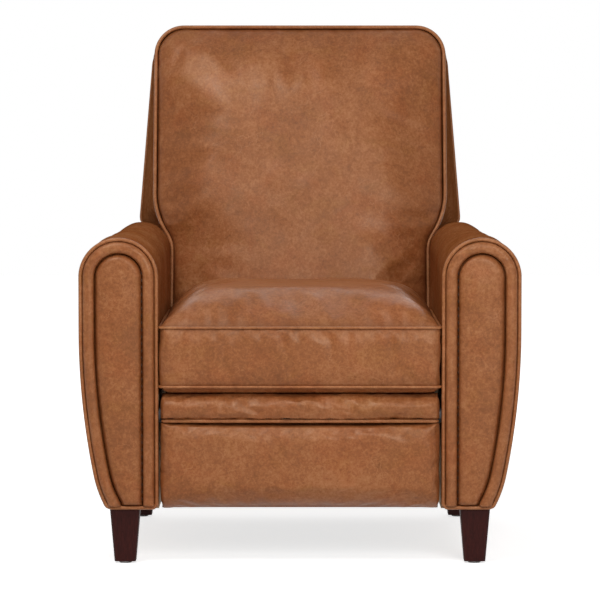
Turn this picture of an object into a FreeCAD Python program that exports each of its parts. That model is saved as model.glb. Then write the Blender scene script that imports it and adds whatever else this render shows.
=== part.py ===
"""Pushback recliner: padded arms, T back, box seat cushion and swing-up footrest on steel links.

Millimetres, +Z up, X across, the chair faces -Y.  The origin is on the floor under the middle of
the chair.  Link work is laid out in a side view with u = -y (forwards) and z, held as complex
numbers u + z*1j, so that a turn is a multiplication.
"""
import FreeCAD, Part
import cmath
import math
import os

Vector = FreeCAD.Vector

# Overall
OVERALL_WIDTH = 813.0
OVERALL_HEIGHT = 1000.0
CHAIR_FRONT = 425.0
BACK_REACH = 425.0

# Arms
ARM_WIDTH = 146.0
ARM_TOP = 603.0
ARM_BOTTOM = 102.0
ARM_REAR = 340.0
ARM_REAR_WIDTH = 96.0
ARM_RISE = 8.0
ARM_SIDE_STRAIGHT = 430.0
ARM_SIDE_RADIUS = 1330.0
ARM_SIDE_SWEEP = 11.5
ARM_FOOT_RADIUS = 215.0
ARM_ROLLOFF_RADIUS = 218.0
FACING_DEPTH = 17.0
WELT_DIAMETER = 7.0
ROLL_WIDTH = 21.0
ROLL_ROUND = 6.0
GROOVE_WIDTH = 3.0
PANEL_DEPTH = 13.0
PANEL_ROUND = 8.0

# Arm frames, rails and legs
SIDE_BOARD = 18.0
SIDE_BOARD_TOP = 312.0
FRAME_WIDTH = 66.0
FRAME_TOP = 460.0
POST_WIDTH = 50.0
FRAME_RAIL = 40.0
FRAME_END_PAD = 18.0
STRETCHER_DEPTH = 20.0
STRETCHER_HEIGHT = 30.0
STRETCHER_PLACE = 130.0
REAR_RAIL_DEPTH = 18.0
REAR_RAIL_TOP = 290.0
APRON_DEPTH = 22.0
APRON_TOP = 345.0
APRON_ROUND = 6.0
LEG_TOP_SIDE = 55.0
LEG_FOOT_SIDE = 39.0
LEG_EDGE = 3.0
LEG_INSET = 56.0
FRONT_LEG_PLACE = 378.0
REAR_LEG_PLACE = -292.0
GLIDE_HEIGHT = 4.0
GLIDE_DIAMETER = 24.0
GLIDE_EDGE = 1.0
BOLT_DIAMETER = 8.0
BOLT_IN_LEG = 50.0

# Steel linkage
SHEET = 4.0
LAYER_GAP = 2.0
LINK_WIDTH = 20.0
CRANK_WIDTH = 24.0
SEAT_LINK_WIDTH = 26.0
PIN_DIAMETER = 10.0
PLATE_RIM = 4.0
BOSS_WALL = 8.0
STUD_HEAD = 1.6
STUD_HEAD_RIM = 3.0
SEAT_LINK_LENGTH = 115.0
SEAT_LINK_LEAN = 58.0
SEAT_LINK_TURN = 50.0
SEAT_LINK_SPREAD = 220.0
BASE_PIVOT_HEIGHT = 150.0
TORQUE_TUBE_DIAMETER = 22.0
BACK_HINGE = complex(-165.0, 300.0)
BACK_TURN = 32.0
CONTROL_TURN = 36.0
FOOTREST_TURN = 93.0
FOOTREST_CENTRE = complex(436.4, 402.7)
SWING_PIVOT = complex(330.0, 264.0)
GUIDE_OFFSET = complex(-57.8, -5.0)
BRACKET_PIVOT = complex(344.0, 290.0)
STAY_OFFSET = 34.0
STAY_ANGLE = -85.65
CAM_LEVER = 45.0
CAM_LEVER_ANGLE = 150.0
CAM_STEPS = 10

# Fits
PIN_CLEARANCE = 0.1
OPEN_PIVOT_CLEARANCE = 0.6
SOFT_GAP = 0.5
CUT_MARGIN = 1.0
NEAR = 0.1
ARM_GAP = 5.5
CUSHION_GAP = 3.0

# Seat
SEAT_FRAME_TOP = 302.0
SEAT_RAIL_HEIGHT = 26.0
SEAT_RAIL_WIDTH = 20.0
SEAT_FRONT_RAIL = 27.0
SEAT_FRONT = 352.0
SEAT_REAR = -150.0
SPRING_WIRE = 3.8
SPRING_COUNT = 4
SPRING_BENDS = 6
SPRING_FACETS = 6
SPRING_PITCH_WIDTH = 58.0
CLIP_SIZE = 16.0
CLIP_SHEET = 1.0
DECK_THICKNESS = 9.0
DECK_REAR = -66.0
CUSHION_FRONT = 418.0
CUSHION_EDGE = 329.0
CUSHION_TOP_EDGE = 438.0
CUSHION_CROWN = 494.0
CUSHION_CORNER = 18.0
CROWN_INSET = 170.0
CROWN_STEPS = 4

# Back
BACK_TOP_DEPTH = 153.0
BACK_FACE = -120.0
BACK_FACE_HEIGHT = 470.0
BACK_BOTTOM = 310.0
BACK_STEP = 345.0
BACK_REAR_BOTTOM = -300.0
BACK_TOP_DROP = 25.0
BACK_FOOT_MARGIN = 48.5
WING_FRONT_OVERLAP = 31.0
WING_TOP_OVERLAP = 43.0
WING_REAR_OVERLAP = 66.5
BACK_TOP_RADIUS = 56.0
WING_FRONT_RADIUS = 144.0
WING_REAR_RADIUS = 15.0
WING_GAP = 6.5
BACK_PAD = 80.0
BACK_SWELL = 28.0
BACK_SWELL_INSET = 50.0
BACK_SWELL_STEPS = 3
BACK_SWELL_FACETS = 4
SHELL_WALL = 12.0
STILE_WIDTH = 26.5
STILE_DEPTH = 34.0
BACK_RAIL = 60.0
BACK_FRAME_DROP = 36.0
BACK_BRACKET_TOP = 585.0
WEBBING_WIDTH = 50.0
WEBBING_THICKNESS = 2.0
WEBBING_COUNT = 4

# Footrest
FOOTREST_TOP = 316.0
FOOTREST_BOTTOM = 102.0
FOOTREST_SEAM = 266.0
FOOTREST_BOARD = 18.0
FOOTREST_PAD = 41.0
FOOTREST_ROUND = 9.0
BRACKET_FLANGE = 46.0
BRACKET_DROP = 60.0

# Values worked out from those above
HALF_WIDTH = OVERALL_WIDTH / 2
ARM_INNER = HALF_WIDTH - ARM_WIDTH
ARM_FRONT = CHAIR_FRONT - FACING_DEPTH
PIN_RADIUS = PIN_DIAMETER / 2
SEAT_HALF = ARM_INNER - ARM_GAP
PITCH = SHEET + LAYER_GAP
BASE_LAYER = ARM_INNER - SHEET
SEAT_LINK_LAYER = BASE_LAYER - PITCH
BRACKET_LAYER = SEAT_LINK_LAYER - PITCH
CARRIER_LAYER = BRACKET_LAYER - PITCH
SWING_LAYER = CARRIER_LAYER - PITCH
GUIDE_LAYER = SWING_LAYER - PITCH
SEAT_PLATE_LAYER = GUIDE_LAYER - PITCH
BOSS = PIN_RADIUS + BOSS_WALL
CUSHION_BOTTOM = SEAT_FRAME_TOP + SPRING_WIRE + CLIP_SHEET + DECK_THICKNESS + 2 * SOFT_GAP
DECK_TOP = CUSHION_BOTTOM - SOFT_GAP
BACK_REAR_TOP = OVERALL_HEIGHT - BACK_TOP_DROP
BACK_FRAME_TOP = BACK_REAR_TOP - BACK_FRAME_DROP
BACK_FOOT_HALF = ARM_INNER - BACK_FOOT_MARGIN
BACK_FRONT_HALF = ARM_INNER + WING_FRONT_OVERLAP
BACK_REAR_TOP_HALF = ARM_INNER + WING_TOP_OVERLAP
BACK_WING_HALF = ARM_INNER + WING_REAR_OVERLAP
BACK_SLOPE = (BACK_REACH - BACK_TOP_DEPTH + BACK_FACE) / (OVERALL_HEIGHT - BACK_FACE_HEIGHT)
BACK_LEAN = math.degrees(math.atan(BACK_SLOPE))


def turn(degrees):
    """Unit turn, anticlockwise in the side view."""
    return cmath.exp(1j * math.radians(degrees))


def seat_shift(t):
    """Travel of the seat on its two equal, parallel links at t = 0..1 of the recline."""
    link = SEAT_LINK_LENGTH * turn(90.0 + SEAT_LINK_LEAN)
    return link * (turn(-SEAT_LINK_TURN * t) - 1)


def control_link():
    """Lower ear of the back bracket and base pivot of the control link, so that the link keeps
    its length at half and at full recline."""
    rows = []
    for t in (0.5, 1.0):
        rows.append((turn(BACK_TURN * t) - 1, 1 - turn(-CONTROL_TURN * t), -seat_shift(t)))
    (a, b, p), (c, d, q) = rows
    det = a * d - b * c
    ear = (p * d - b * q) / det
    link = (a * q - c * p) / det
    pin = BACK_HINGE + ear
    return pin, pin - link


REAR_BASE = complex(-SEAT_LINK_SPREAD / 2, BASE_PIVOT_HEIGHT)
FRONT_BASE = complex(SEAT_LINK_SPREAD / 2, BASE_PIVOT_HEIGHT)
REAR_SEAT = REAR_BASE + SEAT_LINK_LENGTH * turn(90.0 + SEAT_LINK_LEAN)
FRONT_SEAT = REAR_SEAT + SEAT_LINK_SPREAD
CONTROL_PIN, CONTROL_BASE = control_link()
SWING_KNEE = SWING_PIVOT + BRACKET_PIVOT - FOOTREST_CENTRE
GUIDE_PIVOT = SWING_PIVOT + GUIDE_OFFSET
GUIDE_KNEE = SWING_KNEE + GUIDE_OFFSET
STAY_KNEE = SWING_KNEE + STAY_OFFSET * turn(STAY_ANGLE)
STAY_PIVOT = BRACKET_PIVOT + STAY_OFFSET * turn(STAY_ANGLE)
CAM_PIN = SWING_PIVOT + CAM_LEVER * turn(CAM_LEVER_ANGLE)
TUBE_PLACE = (REAR_BASE + REAR_SEAT) / 2


def cam_place(t):
    """Place of the cam pin over the base at t = 0..1 of the recline."""
    lever = CAM_LEVER * turn(CAM_LEVER_ANGLE + FOOTREST_TURN * t)
    return SWING_PIVOT + seat_shift(t) + lever


def at(x, point):
    """Side view point at a place across the chair."""
    return Vector(x, -point.real, point.imag)


def bar(p, q, width, x, sheet=SHEET):
    """Flat link with round ends."""
    along = (q - p) / abs(q - p) * width / 2
    side = along * 1j
    edges = [
        Part.LineSegment(at(x, p + side), at(x, q + side)).toShape(),
        Part.Arc(at(x, q + side), at(x, q + along), at(x, q - side)).toShape(),
        Part.LineSegment(at(x, q - side), at(x, p - side)).toShape(),
        Part.Arc(at(x, p - side), at(x, p - along), at(x, p + side)).toShape(),
    ]
    return Part.Face(Part.Wire(edges)).extrude(Vector(sheet, 0, 0))


def rod(point, radius, x0, x1):
    """Round pin or hole across the chair from x0 to x1."""
    return Part.makeCylinder(radius, x1 - x0, at(x0, point), Vector(1, 0, 0))


def plate(points, x, sheet=SHEET):
    """Flat plate with straight edges through side view points."""
    corners = [at(x, p) for p in points]
    corners.append(corners[0])
    return Part.Face(Part.makePolygon(corners)).extrude(Vector(sheet, 0, 0))


def hole(shape, point, x, radius=PIN_RADIUS + PIN_CLEARANCE, sheet=SHEET):
    """Shape with a round hole through the sheet at x."""
    return shape.cut(rod(point, radius, x - CUT_MARGIN, x + sheet + CUT_MARGIN))


def box(x0, x1, u0, u1, z0, z1):
    """Block between two places across, forwards and up."""
    return Part.makeBox(x1 - x0, u1 - u0, z1 - z0, Vector(x0, -u1, z0))


def pair(shape):
    """The right-hand piece and its mirrored left-hand piece."""
    return shape, shape.mirror(Vector(0, 0, 0), Vector(1, 0, 0))


def joined(shapes):
    """One solid from shapes that meet."""
    first, rest = shapes[0], shapes[1:]
    return first.multiFuse(rest).removeSplitter() if rest else first


# Arms


def arm_share(u):
    """How far back a place on the arm is: 0 at the arm front, 1 at its rear end."""
    return max(ARM_FRONT - u, 0.0) / (ARM_FRONT + ARM_REAR)


def arm_half(u):
    """Radius of the arm top, smaller towards the rear."""
    return (ARM_WIDTH - (ARM_WIDTH - ARM_REAR_WIDTH) * arm_share(u)) / 2


def arm_spring(u):
    """Height of the middle of the arm's round top, which rises towards the rear."""
    return ARM_TOP + ARM_RISE * arm_share(u) - arm_half(u)


def arm_outline(inset, u, rise=None):
    """Outline of an arm across, drawn in by inset: straight inside, round top, curved outside that
    draws in towards the rear.  The foot is drawn in too, or set to a rise of its own."""
    radius = arm_half(u) - inset
    middle, spring = ARM_INNER + arm_half(u), arm_spring(u)
    foot = ARM_BOTTOM + (inset if rise is None else rise)
    inner = ARM_INNER + inset
    narrower = (ARM_WIDTH - ARM_REAR_WIDTH) * arm_share(u)
    sweep = math.radians(ARM_SIDE_SWEEP)
    side_x = HALF_WIDTH - ARM_SIDE_RADIUS
    foot_x = side_x + (ARM_SIDE_RADIUS - ARM_FOOT_RADIUS) * math.cos(sweep)
    foot_z = ARM_SIDE_STRAIGHT - (ARM_SIDE_RADIUS - ARM_FOOT_RADIUS) * math.sin(sweep)

    def drawn_in(x, z):
        height = (z - ARM_BOTTOM) / (ARM_SIDE_STRAIGHT - ARM_BOTTOM)
        return Vector(x - narrower * height, -u, z)

    def side(angle):
        r = ARM_SIDE_RADIUS - inset
        return drawn_in(side_x + r * math.cos(angle), ARM_SIDE_STRAIGHT - r * math.sin(angle))

    def low(angle):
        r = ARM_FOOT_RADIUS - inset
        return drawn_in(foot_x + r * math.cos(angle), foot_z - r * math.sin(angle))

    end = math.asin((foot_z - foot) / (ARM_FOOT_RADIUS - inset))
    top = Vector(middle, -u, spring + radius)
    spring_in = Vector(inner, -u, spring)
    spring_out = Vector(middle + radius, -u, spring)
    corner = Vector(inner, -u, foot)
    edges = [
        Part.LineSegment(corner, spring_in).toShape(),
        Part.Arc(spring_in, top, spring_out).toShape(),
        Part.LineSegment(spring_out, side(0.0)).toShape(),
        Part.Arc(side(0.0), side(sweep / 2), side(sweep)).toShape(),
        Part.Arc(low(sweep), low((sweep + end) / 2), low(end)).toShape(),
        Part.LineSegment(low(end), corner).toShape(),
    ]
    return Part.Wire(edges)


def arm_frame_space():
    """Room inside an arm for its wooden frame: side board against the seat, box behind it."""
    front = ARM_FRONT - FRAME_END_PAD
    rear = -ARM_REAR + FRAME_END_PAD
    board = ARM_INNER + SIDE_BOARD
    side = box(ARM_INNER, board, rear, front, ARM_BOTTOM, SIDE_BOARD_TOP)
    core = box(board, board + FRAME_WIDTH, rear, front, ARM_BOTTOM, FRAME_TOP)
    return side, core


def arm_pad():
    """Padded arm: outline carried back as it narrows, rounded off behind, hollow for the frame."""
    body = Part.makeLoft([arm_outline(0.0, ARM_FRONT), arm_outline(0.0, -ARM_REAR)], True, True)
    start = -ARM_REAR + ARM_ROLLOFF_RADIUS
    axis = complex(start, ARM_TOP + ARM_RISE * arm_share(start) - ARM_ROLLOFF_RADIUS)
    corner = box(ARM_INNER - CUT_MARGIN, HALF_WIDTH + CUT_MARGIN, -ARM_REAR - CUT_MARGIN, start,
                 axis.imag, ARM_TOP + ARM_RISE + CUT_MARGIN)
    corner = corner.cut(rod(axis, ARM_ROLLOFF_RADIUS, 0, OVERALL_WIDTH))
    side, core = arm_frame_space()
    return body.cut(corner).cut(side).cut(core)


def arm_frame():
    """Wooden arm frame: plywood side board, two posts, bottom and top rail."""
    side, core = arm_frame_space()
    inner = ARM_INNER + SIDE_BOARD
    outer = inner + FRAME_WIDTH
    rear, front = -core.BoundBox.YMax, -core.BoundBox.YMin
    top = core.BoundBox.ZMax
    window = box(inner, outer + CUT_MARGIN, rear + POST_WIDTH, front - POST_WIDTH,
                 ARM_BOTTOM + FRAME_RAIL, top - FRAME_RAIL)
    frame = joined([side, core.cut(window)])
    for place in (FRONT_LEG_PLACE, REAR_LEG_PLACE):
        frame = frame.cut(bolt(place, PIN_CLEARANCE))
    return frame


def banded(inset, u0, u1, u2, taper, rise):
    """Solid from an arm outline over a set foot: straight from u0 to u1, then drawn in by taper up to u2."""
    wires = [arm_outline(inset, u0, rise), arm_outline(inset, u1, rise), arm_outline(inset + taper, u2, rise)]
    return Part.makeLoft(wires, True, True)


def arm_roll():
    """Padded roll that borders the arm front: up, over and down, open at the foot."""
    top = CHAIR_FRONT - WELT_DIAMETER / 2
    shoulder = top - ROLL_ROUND
    outer = banded(WELT_DIAMETER, ARM_FRONT, shoulder, top, ROLL_ROUND, WELT_DIAMETER)
    inner = banded(WELT_DIAMETER + ROLL_WIDTH, ARM_FRONT - CUT_MARGIN, shoulder, top + CUT_MARGIN,
                   -ROLL_ROUND, 0.0)
    return outer.cut(inner)


def arm_panel():
    """Pillowed panel inside the roll, down to the welt at the foot."""
    inset = WELT_DIAMETER + ROLL_WIDTH + GROOVE_WIDTH
    top = ARM_FRONT + PANEL_DEPTH
    return banded(inset, ARM_FRONT, top - PANEL_ROUND / 2, top, PANEL_ROUND, WELT_DIAMETER)


def arm_welt():
    """Corded welt round the arm front, flush with the arm's side."""
    radius = WELT_DIAMETER / 2
    outer = arm_outline(0.0, ARM_FRONT)
    inner = arm_outline(WELT_DIAMETER, ARM_FRONT)
    ring = Part.Face(outer).cut(Part.Face(inner)).extrude(Vector(0, -radius, 0))
    crown = [arm_outline(0.0, ARM_FRONT + radius), arm_outline(radius / 2, ARM_FRONT + WELT_DIAMETER)]
    hollow = [arm_outline(WELT_DIAMETER, ARM_FRONT + radius),
              arm_outline(WELT_DIAMETER - radius / 2, ARM_FRONT + WELT_DIAMETER)]
    top = Part.makeLoft(crown, True, True).cut(Part.makeLoft(hollow, True, True))
    return ring.fuse(top).removeSplitter()


# Legs and cross rails


def bolt(place, clearance=0.0):
    """Hanger bolt up the middle of a leg and through the frame's bottom rail."""
    base = Vector(HALF_WIDTH - LEG_INSET - LEG_TOP_SIDE / 2, -place, ARM_BOTTOM - BOLT_IN_LEG)
    return Part.makeCylinder(BOLT_DIAMETER / 2 + clearance, BOLT_IN_LEG + FRAME_RAIL, base)


def square(x, u, z, side):
    """Level square outline with cut corners."""
    h = side / 2
    k = h - LEG_EDGE
    spots = [(h, k), (k, h), (-k, h), (-h, k), (-h, -k), (-k, -h), (k, -h), (h, -k), (h, k)]
    return Part.makePolygon([Vector(x + dx, -u + dy, z) for dx, dy in spots])


def leg(place):
    """Square wooden leg, tapered to the foot, bored for its bolt."""
    x = HALF_WIDTH - LEG_INSET - LEG_TOP_SIDE / 2
    wires = [square(x, place, GLIDE_HEIGHT, LEG_FOOT_SIDE), square(x, place, ARM_BOTTOM, LEG_TOP_SIDE)]
    return Part.makeLoft(wires, True, True).cut(bolt(place, PIN_CLEARANCE))


def glide(place):
    """Round nylon glide under a leg."""
    x = HALF_WIDTH - LEG_INSET - LEG_TOP_SIDE / 2
    disc = Part.makeCylinder(GLIDE_DIAMETER / 2, GLIDE_HEIGHT, Vector(x, -place, 0))
    return disc.makeChamfer(GLIDE_EDGE, [disc.Edges[2]])


def front_stretcher():
    """Wooden rail between the arm frames, under the seat."""
    half = STRETCHER_DEPTH / 2
    low = ARM_BOTTOM + LAYER_GAP
    return box(-ARM_INNER, ARM_INNER, STRETCHER_PLACE - half, STRETCHER_PLACE + half,
               low, low + STRETCHER_HEIGHT)


def rear_apron():
    """Padded panel that closes the chair behind, below the back."""
    low = ARM_BOTTOM + LAYER_GAP
    block = box(-ARM_INNER, ARM_INNER, -ARM_REAR, -ARM_REAR + APRON_DEPTH, low, APRON_TOP)
    rims = [e for e in block.Edges if abs(e.Length - 2 * ARM_INNER) < NEAR]
    outer = [e for e in rims if e.BoundBox.YMax > ARM_REAR - NEAR]
    return block.makeFillet(APRON_ROUND, outer)


def rear_rail():
    """Wooden rail that carries the rear apron."""
    front = -ARM_REAR + APRON_DEPTH + REAR_RAIL_DEPTH
    low = ARM_BOTTOM + LAYER_GAP
    return box(-ARM_INNER, ARM_INNER, -ARM_REAR + APRON_DEPTH, front, low, REAR_RAIL_TOP)


# Mechanism: base plates and seat links


def base_plate():
    """Side plate on the arm frame, with the cam slot that swings the footrest out."""
    slot = [cam_place(step / CAM_STEPS) for step in range(CAM_STEPS + 1)]
    rim = SEAT_LINK_WIDTH / 2 + PLATE_RIM
    lower = bar(REAR_BASE, FRONT_BASE, 2 * rim, BASE_LAYER)
    rise = bar(FRONT_BASE, slot[0], 2 * rim, BASE_LAYER)
    head = [bar(p, q, 2 * rim - PLATE_RIM, BASE_LAYER) for p, q in zip(slot[:-1], slot[1:])]
    ear = bar(complex(CONTROL_BASE.real, BASE_PIVOT_HEIGHT), CONTROL_BASE, 2 * rim - PLATE_RIM, BASE_LAYER)
    blank = joined([lower, rise, ear] + head)
    width = PIN_DIAMETER + 2 * OPEN_PIVOT_CLEARANCE
    cuts = [bar(p, q, width, BASE_LAYER - CUT_MARGIN, SHEET + 2 * CUT_MARGIN)
            for p, q in zip(slot[:-1], slot[1:])]
    blank = blank.cut(joined(cuts))
    for point in (REAR_BASE, FRONT_BASE, CONTROL_BASE):
        blank = hole(blank, point, BASE_LAYER, PIN_RADIUS)
    return blank


def stud(point, x0, x1):
    """Shouldered rivet from x0 to x1 with a round head at the inner end."""
    head = rod(point, PIN_RADIUS + STUD_HEAD_RIM, x0 - STUD_HEAD, x0)
    return rod(point, PIN_RADIUS, x0, x1).fuse(head).removeSplitter()


def base_studs():
    """Studs riveted into one base plate: seat links and back control link."""
    end = BASE_LAYER + SHEET
    return [
        stud(REAR_BASE, SEAT_LINK_LAYER - SOFT_GAP, end),
        stud(FRONT_BASE, SEAT_LINK_LAYER - SOFT_GAP, end),
        stud(CONTROL_BASE, SWING_LAYER - SOFT_GAP, end),
    ]


def seat_link(low, high, open_pivot):
    """Link between a base plate and a seat plate."""
    blank = bar(low, high, SEAT_LINK_WIDTH, SEAT_LINK_LAYER)
    blank = hole(blank, low, SEAT_LINK_LAYER)
    spare = OPEN_PIVOT_CLEARANCE if open_pivot else PIN_CLEARANCE
    return hole(blank, high, SEAT_LINK_LAYER, PIN_RADIUS + spare)


def torque_tube():
    """Tube welded between the two rear links, so that both sides move together."""
    outer = rod(TUBE_PLACE, TORQUE_TUBE_DIAMETER / 2, -SEAT_LINK_LAYER, SEAT_LINK_LAYER)
    bore = rod(TUBE_PLACE, TORQUE_TUBE_DIAMETER / 2 - LAYER_GAP, -ARM_INNER, ARM_INNER)
    return outer.cut(bore)


def control_bar():
    """Link from the base that tips the back as the seat moves forwards."""
    blank = bar(CONTROL_BASE, CONTROL_PIN, LINK_WIDTH, SWING_LAYER)
    blank = hole(blank, CONTROL_BASE, SWING_LAYER)
    return hole(blank, CONTROL_PIN, SWING_LAYER, PIN_RADIUS + OPEN_PIVOT_CLEARANCE)


# Mechanism: footrest linkage


def guide_link():
    """Rear link of the first footrest parallelogram, with the pin at its knee."""
    blank = hole(bar(GUIDE_PIVOT, GUIDE_KNEE, LINK_WIDTH, GUIDE_LAYER), GUIDE_PIVOT, GUIDE_LAYER)
    return blank.fuse(rod(GUIDE_KNEE, PIN_RADIUS, GUIDE_LAYER, CARRIER_LAYER + SHEET)).removeSplitter()


def swing_link():
    """Front link of the first parallelogram: crank with stay ear, cam lever and their pins."""
    blank = joined([
        bar(SWING_PIVOT, SWING_KNEE, CRANK_WIDTH, SWING_LAYER),
        bar(SWING_KNEE, STAY_KNEE, LINK_WIDTH, SWING_LAYER),
        bar(SWING_PIVOT, CAM_PIN, LINK_WIDTH, SWING_LAYER),
    ])
    blank = hole(blank, SWING_PIVOT, SWING_LAYER)
    pins = [rod(p, PIN_RADIUS, SWING_LAYER, CARRIER_LAYER + SHEET) for p in (SWING_KNEE, STAY_KNEE)]
    pins.append(rod(CAM_PIN, PIN_RADIUS, SWING_LAYER, BASE_LAYER + SHEET - SOFT_GAP))
    return joined([blank] + pins)


def carrier_link():
    """Coupler of the first parallelogram that reaches out to the footrest bracket."""
    blank = joined([
        bar(GUIDE_KNEE, SWING_KNEE, LINK_WIDTH, CARRIER_LAYER),
        bar(SWING_KNEE, BRACKET_PIVOT, LINK_WIDTH, CARRIER_LAYER),
    ])
    blank = hole(blank, SWING_KNEE, CARRIER_LAYER)
    blank = hole(blank, GUIDE_KNEE, CARRIER_LAYER, PIN_RADIUS + OPEN_PIVOT_CLEARANCE)
    return blank.fuse(rod(BRACKET_PIVOT, PIN_RADIUS, CARRIER_LAYER, BRACKET_LAYER + SHEET)).removeSplitter()


def stay_link():
    """Link that keeps the footrest bracket parallel to the swing link."""
    blank = hole(bar(STAY_KNEE, STAY_PIVOT, LINK_WIDTH, CARRIER_LAYER), STAY_KNEE, CARRIER_LAYER)
    return blank.fuse(rod(STAY_PIVOT, PIN_RADIUS, CARRIER_LAYER, BRACKET_LAYER + SHEET)).removeSplitter()


def footrest_back():
    """Place of the back face of the footrest board, forwards."""
    return CHAIR_FRONT - FOOTREST_PAD - FOOTREST_BOARD


def footrest_bracket():
    """Angle bracket on the board: ear for the two pivots and a flange behind the board."""
    rear = footrest_back()
    low = STAY_PIVOT - 1j * BRACKET_DROP
    ear = joined([
        bar(BRACKET_PIVOT, STAY_PIVOT, CRANK_WIDTH, BRACKET_LAYER),
        plate([complex(BRACKET_PIVOT.real, BRACKET_PIVOT.imag + LINK_WIDTH / 2),
               complex(rear, BRACKET_PIVOT.imag + LINK_WIDTH / 2),
               complex(rear, low.imag), complex(rear - SHEET, low.imag),
               complex(STAY_PIVOT.real, STAY_PIVOT.imag - LINK_WIDTH / 2)], BRACKET_LAYER),
    ])
    flange = box(BRACKET_LAYER + SHEET - BRACKET_FLANGE, BRACKET_LAYER + SHEET, rear - SHEET, rear,
                 low.imag, BRACKET_PIVOT.imag + LINK_WIDTH / 2)
    angle = ear.fuse(flange).removeSplitter()
    angle = hole(angle, BRACKET_PIVOT, BRACKET_LAYER)
    return hole(angle, STAY_PIVOT, BRACKET_LAYER, PIN_RADIUS + OPEN_PIVOT_CLEARANCE)


# Seat


def seat_plate():
    """Steel plate on the seat frame that carries the hinges of links, back and footrest."""
    rim = BOSS
    low = SEAT_FRAME_TOP - SEAT_RAIL_HEIGHT
    spine = plate([complex(REAR_SEAT.real + rim, low), complex(SWING_PIVOT.real + rim, low),
                   complex(SWING_PIVOT.real + rim, SEAT_FRAME_TOP),
                   complex(REAR_SEAT.real + rim, SEAT_FRAME_TOP)], SEAT_PLATE_LAYER)
    ears = [
        bar(REAR_SEAT, BACK_HINGE, 2 * rim, SEAT_PLATE_LAYER),
        bar(FRONT_SEAT, complex(FRONT_SEAT.real, low + rim), 2 * rim, SEAT_PLATE_LAYER),
        bar(GUIDE_PIVOT, SWING_PIVOT, 2 * rim, SEAT_PLATE_LAYER),
    ]
    blank = joined([spine] + ears)
    for point in (REAR_SEAT, FRONT_SEAT, BACK_HINGE, GUIDE_PIVOT, SWING_PIVOT):
        blank = hole(blank, point, SEAT_PLATE_LAYER, PIN_RADIUS)
    return blank


def seat_studs():
    """Studs riveted into one seat plate."""
    reach = {
        REAR_SEAT: SEAT_LINK_LAYER,
        FRONT_SEAT: SEAT_LINK_LAYER,
        BACK_HINGE: GUIDE_LAYER,
        GUIDE_PIVOT: GUIDE_LAYER,
        SWING_PIVOT: SWING_LAYER,
    }
    return [rod(p, PIN_RADIUS, SEAT_PLATE_LAYER, x + SHEET) for p, x in reach.items()]


def seat_frame():
    """Hardwood seat frame: two side rails, front and rear rail."""
    low = SEAT_FRAME_TOP - SEAT_RAIL_HEIGHT
    outer = box(-SEAT_PLATE_LAYER, SEAT_PLATE_LAYER, SEAT_REAR, SEAT_FRONT, low, SEAT_FRAME_TOP)
    inner = SEAT_PLATE_LAYER - SEAT_RAIL_WIDTH
    well = box(-inner, inner, SEAT_REAR + SEAT_FRONT_RAIL, SEAT_FRONT - SEAT_FRONT_RAIL,
               low - CUT_MARGIN, SEAT_FRAME_TOP + CUT_MARGIN)
    return outer.cut(well)


def spring_lanes():
    """Places across of the springs, evenly spread between the side rails."""
    inner = SEAT_PLATE_LAYER - SEAT_RAIL_WIDTH
    pitch = 2 * inner / SPRING_COUNT
    return [-inner + pitch * (i + 0.5) for i in range(SPRING_COUNT)]


def seat_spring(x):
    """Sinuous spring: straight runs across, joined by half rounds, from rear to front rail."""
    z = SEAT_FRAME_TOP + SPRING_WIRE / 2
    first = SEAT_REAR + SEAT_FRONT_RAIL / 2
    last = SEAT_FRONT - SEAT_FRONT_RAIL / 2
    pitch = (last - first) / SPRING_BENDS
    bend = pitch / 2
    half = SPRING_PITCH_WIDTH / 2 - bend / 2
    edges = []
    for i in range(SPRING_BENDS + 1):
        u = first + pitch * i
        side = 1 if i % 2 == 0 else -1
        a = Vector(x - side * half, -u, z)
        b = Vector(x + side * half, -u, z)
        edges.append(Part.LineSegment(a, b).toShape())
        if i < SPRING_BENDS:
            mid = Vector(x + side * (half + bend), -u - bend, z)
            end = Vector(x + side * half, -u - pitch, z)
            edges.append(Part.Arc(b, mid, end).toShape())
    path = Part.Wire(edges)
    start = edges[0].Vertexes[0].Point
    section = []
    for i in range(SPRING_FACETS + 1):
        ray = SPRING_WIRE / 2 * turn(90.0 + 360.0 * i / SPRING_FACETS)
        section.append(start + Vector(0, ray.real, ray.imag))
    return path.makePipeShell([Part.makePolygon(section)], True, False)


def spring_clip(x, u):
    """Folded clip over the last run of a spring."""
    h = CLIP_SIZE / 2
    top = SEAT_FRAME_TOP + SPRING_WIRE + CLIP_SHEET
    block = box(x - h, x + h, u - h / 2, u + h / 2, SEAT_FRAME_TOP, top)
    channel = SPRING_WIRE / 2 + SOFT_GAP
    return block.cut(box(x - h - CUT_MARGIN, x + h + CUT_MARGIN, u - channel, u + channel,
                         SEAT_FRAME_TOP - CUT_MARGIN, SEAT_FRAME_TOP + SPRING_WIRE))


def seat_deck():
    """Padded deck cloth over the springs."""
    half = SEAT_HALF - ARM_GAP
    return box(-half, half, DECK_REAR, SEAT_FRONT, DECK_TOP - DECK_THICKNESS, DECK_TOP)


def rounded(half, u0, u1, z, corner):
    """Level rectangle with round corners."""
    k = corner * (1 - math.sqrt(0.5))
    edges = []
    spots = [(half, u1, 1, 1), (-half, u1, -1, 1), (-half, u0, -1, -1), (half, u0, 1, -1)]
    arcs = []
    for x, u, sx, su in spots:
        ends = [Vector(x, -(u - su * corner), z), Vector(x - sx * corner, -u, z)]
        if sx * su < 0:
            ends.reverse()
        arcs.append((ends[0], Vector(x - sx * k, -(u - su * k), z), ends[1]))
    for i, (a, m, b) in enumerate(arcs):
        edges.append(Part.Arc(a, m, b).toShape())
        edges.append(Part.LineSegment(b, arcs[(i + 1) % 4][0]).toShape())
    return Part.Wire(edges)


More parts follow.
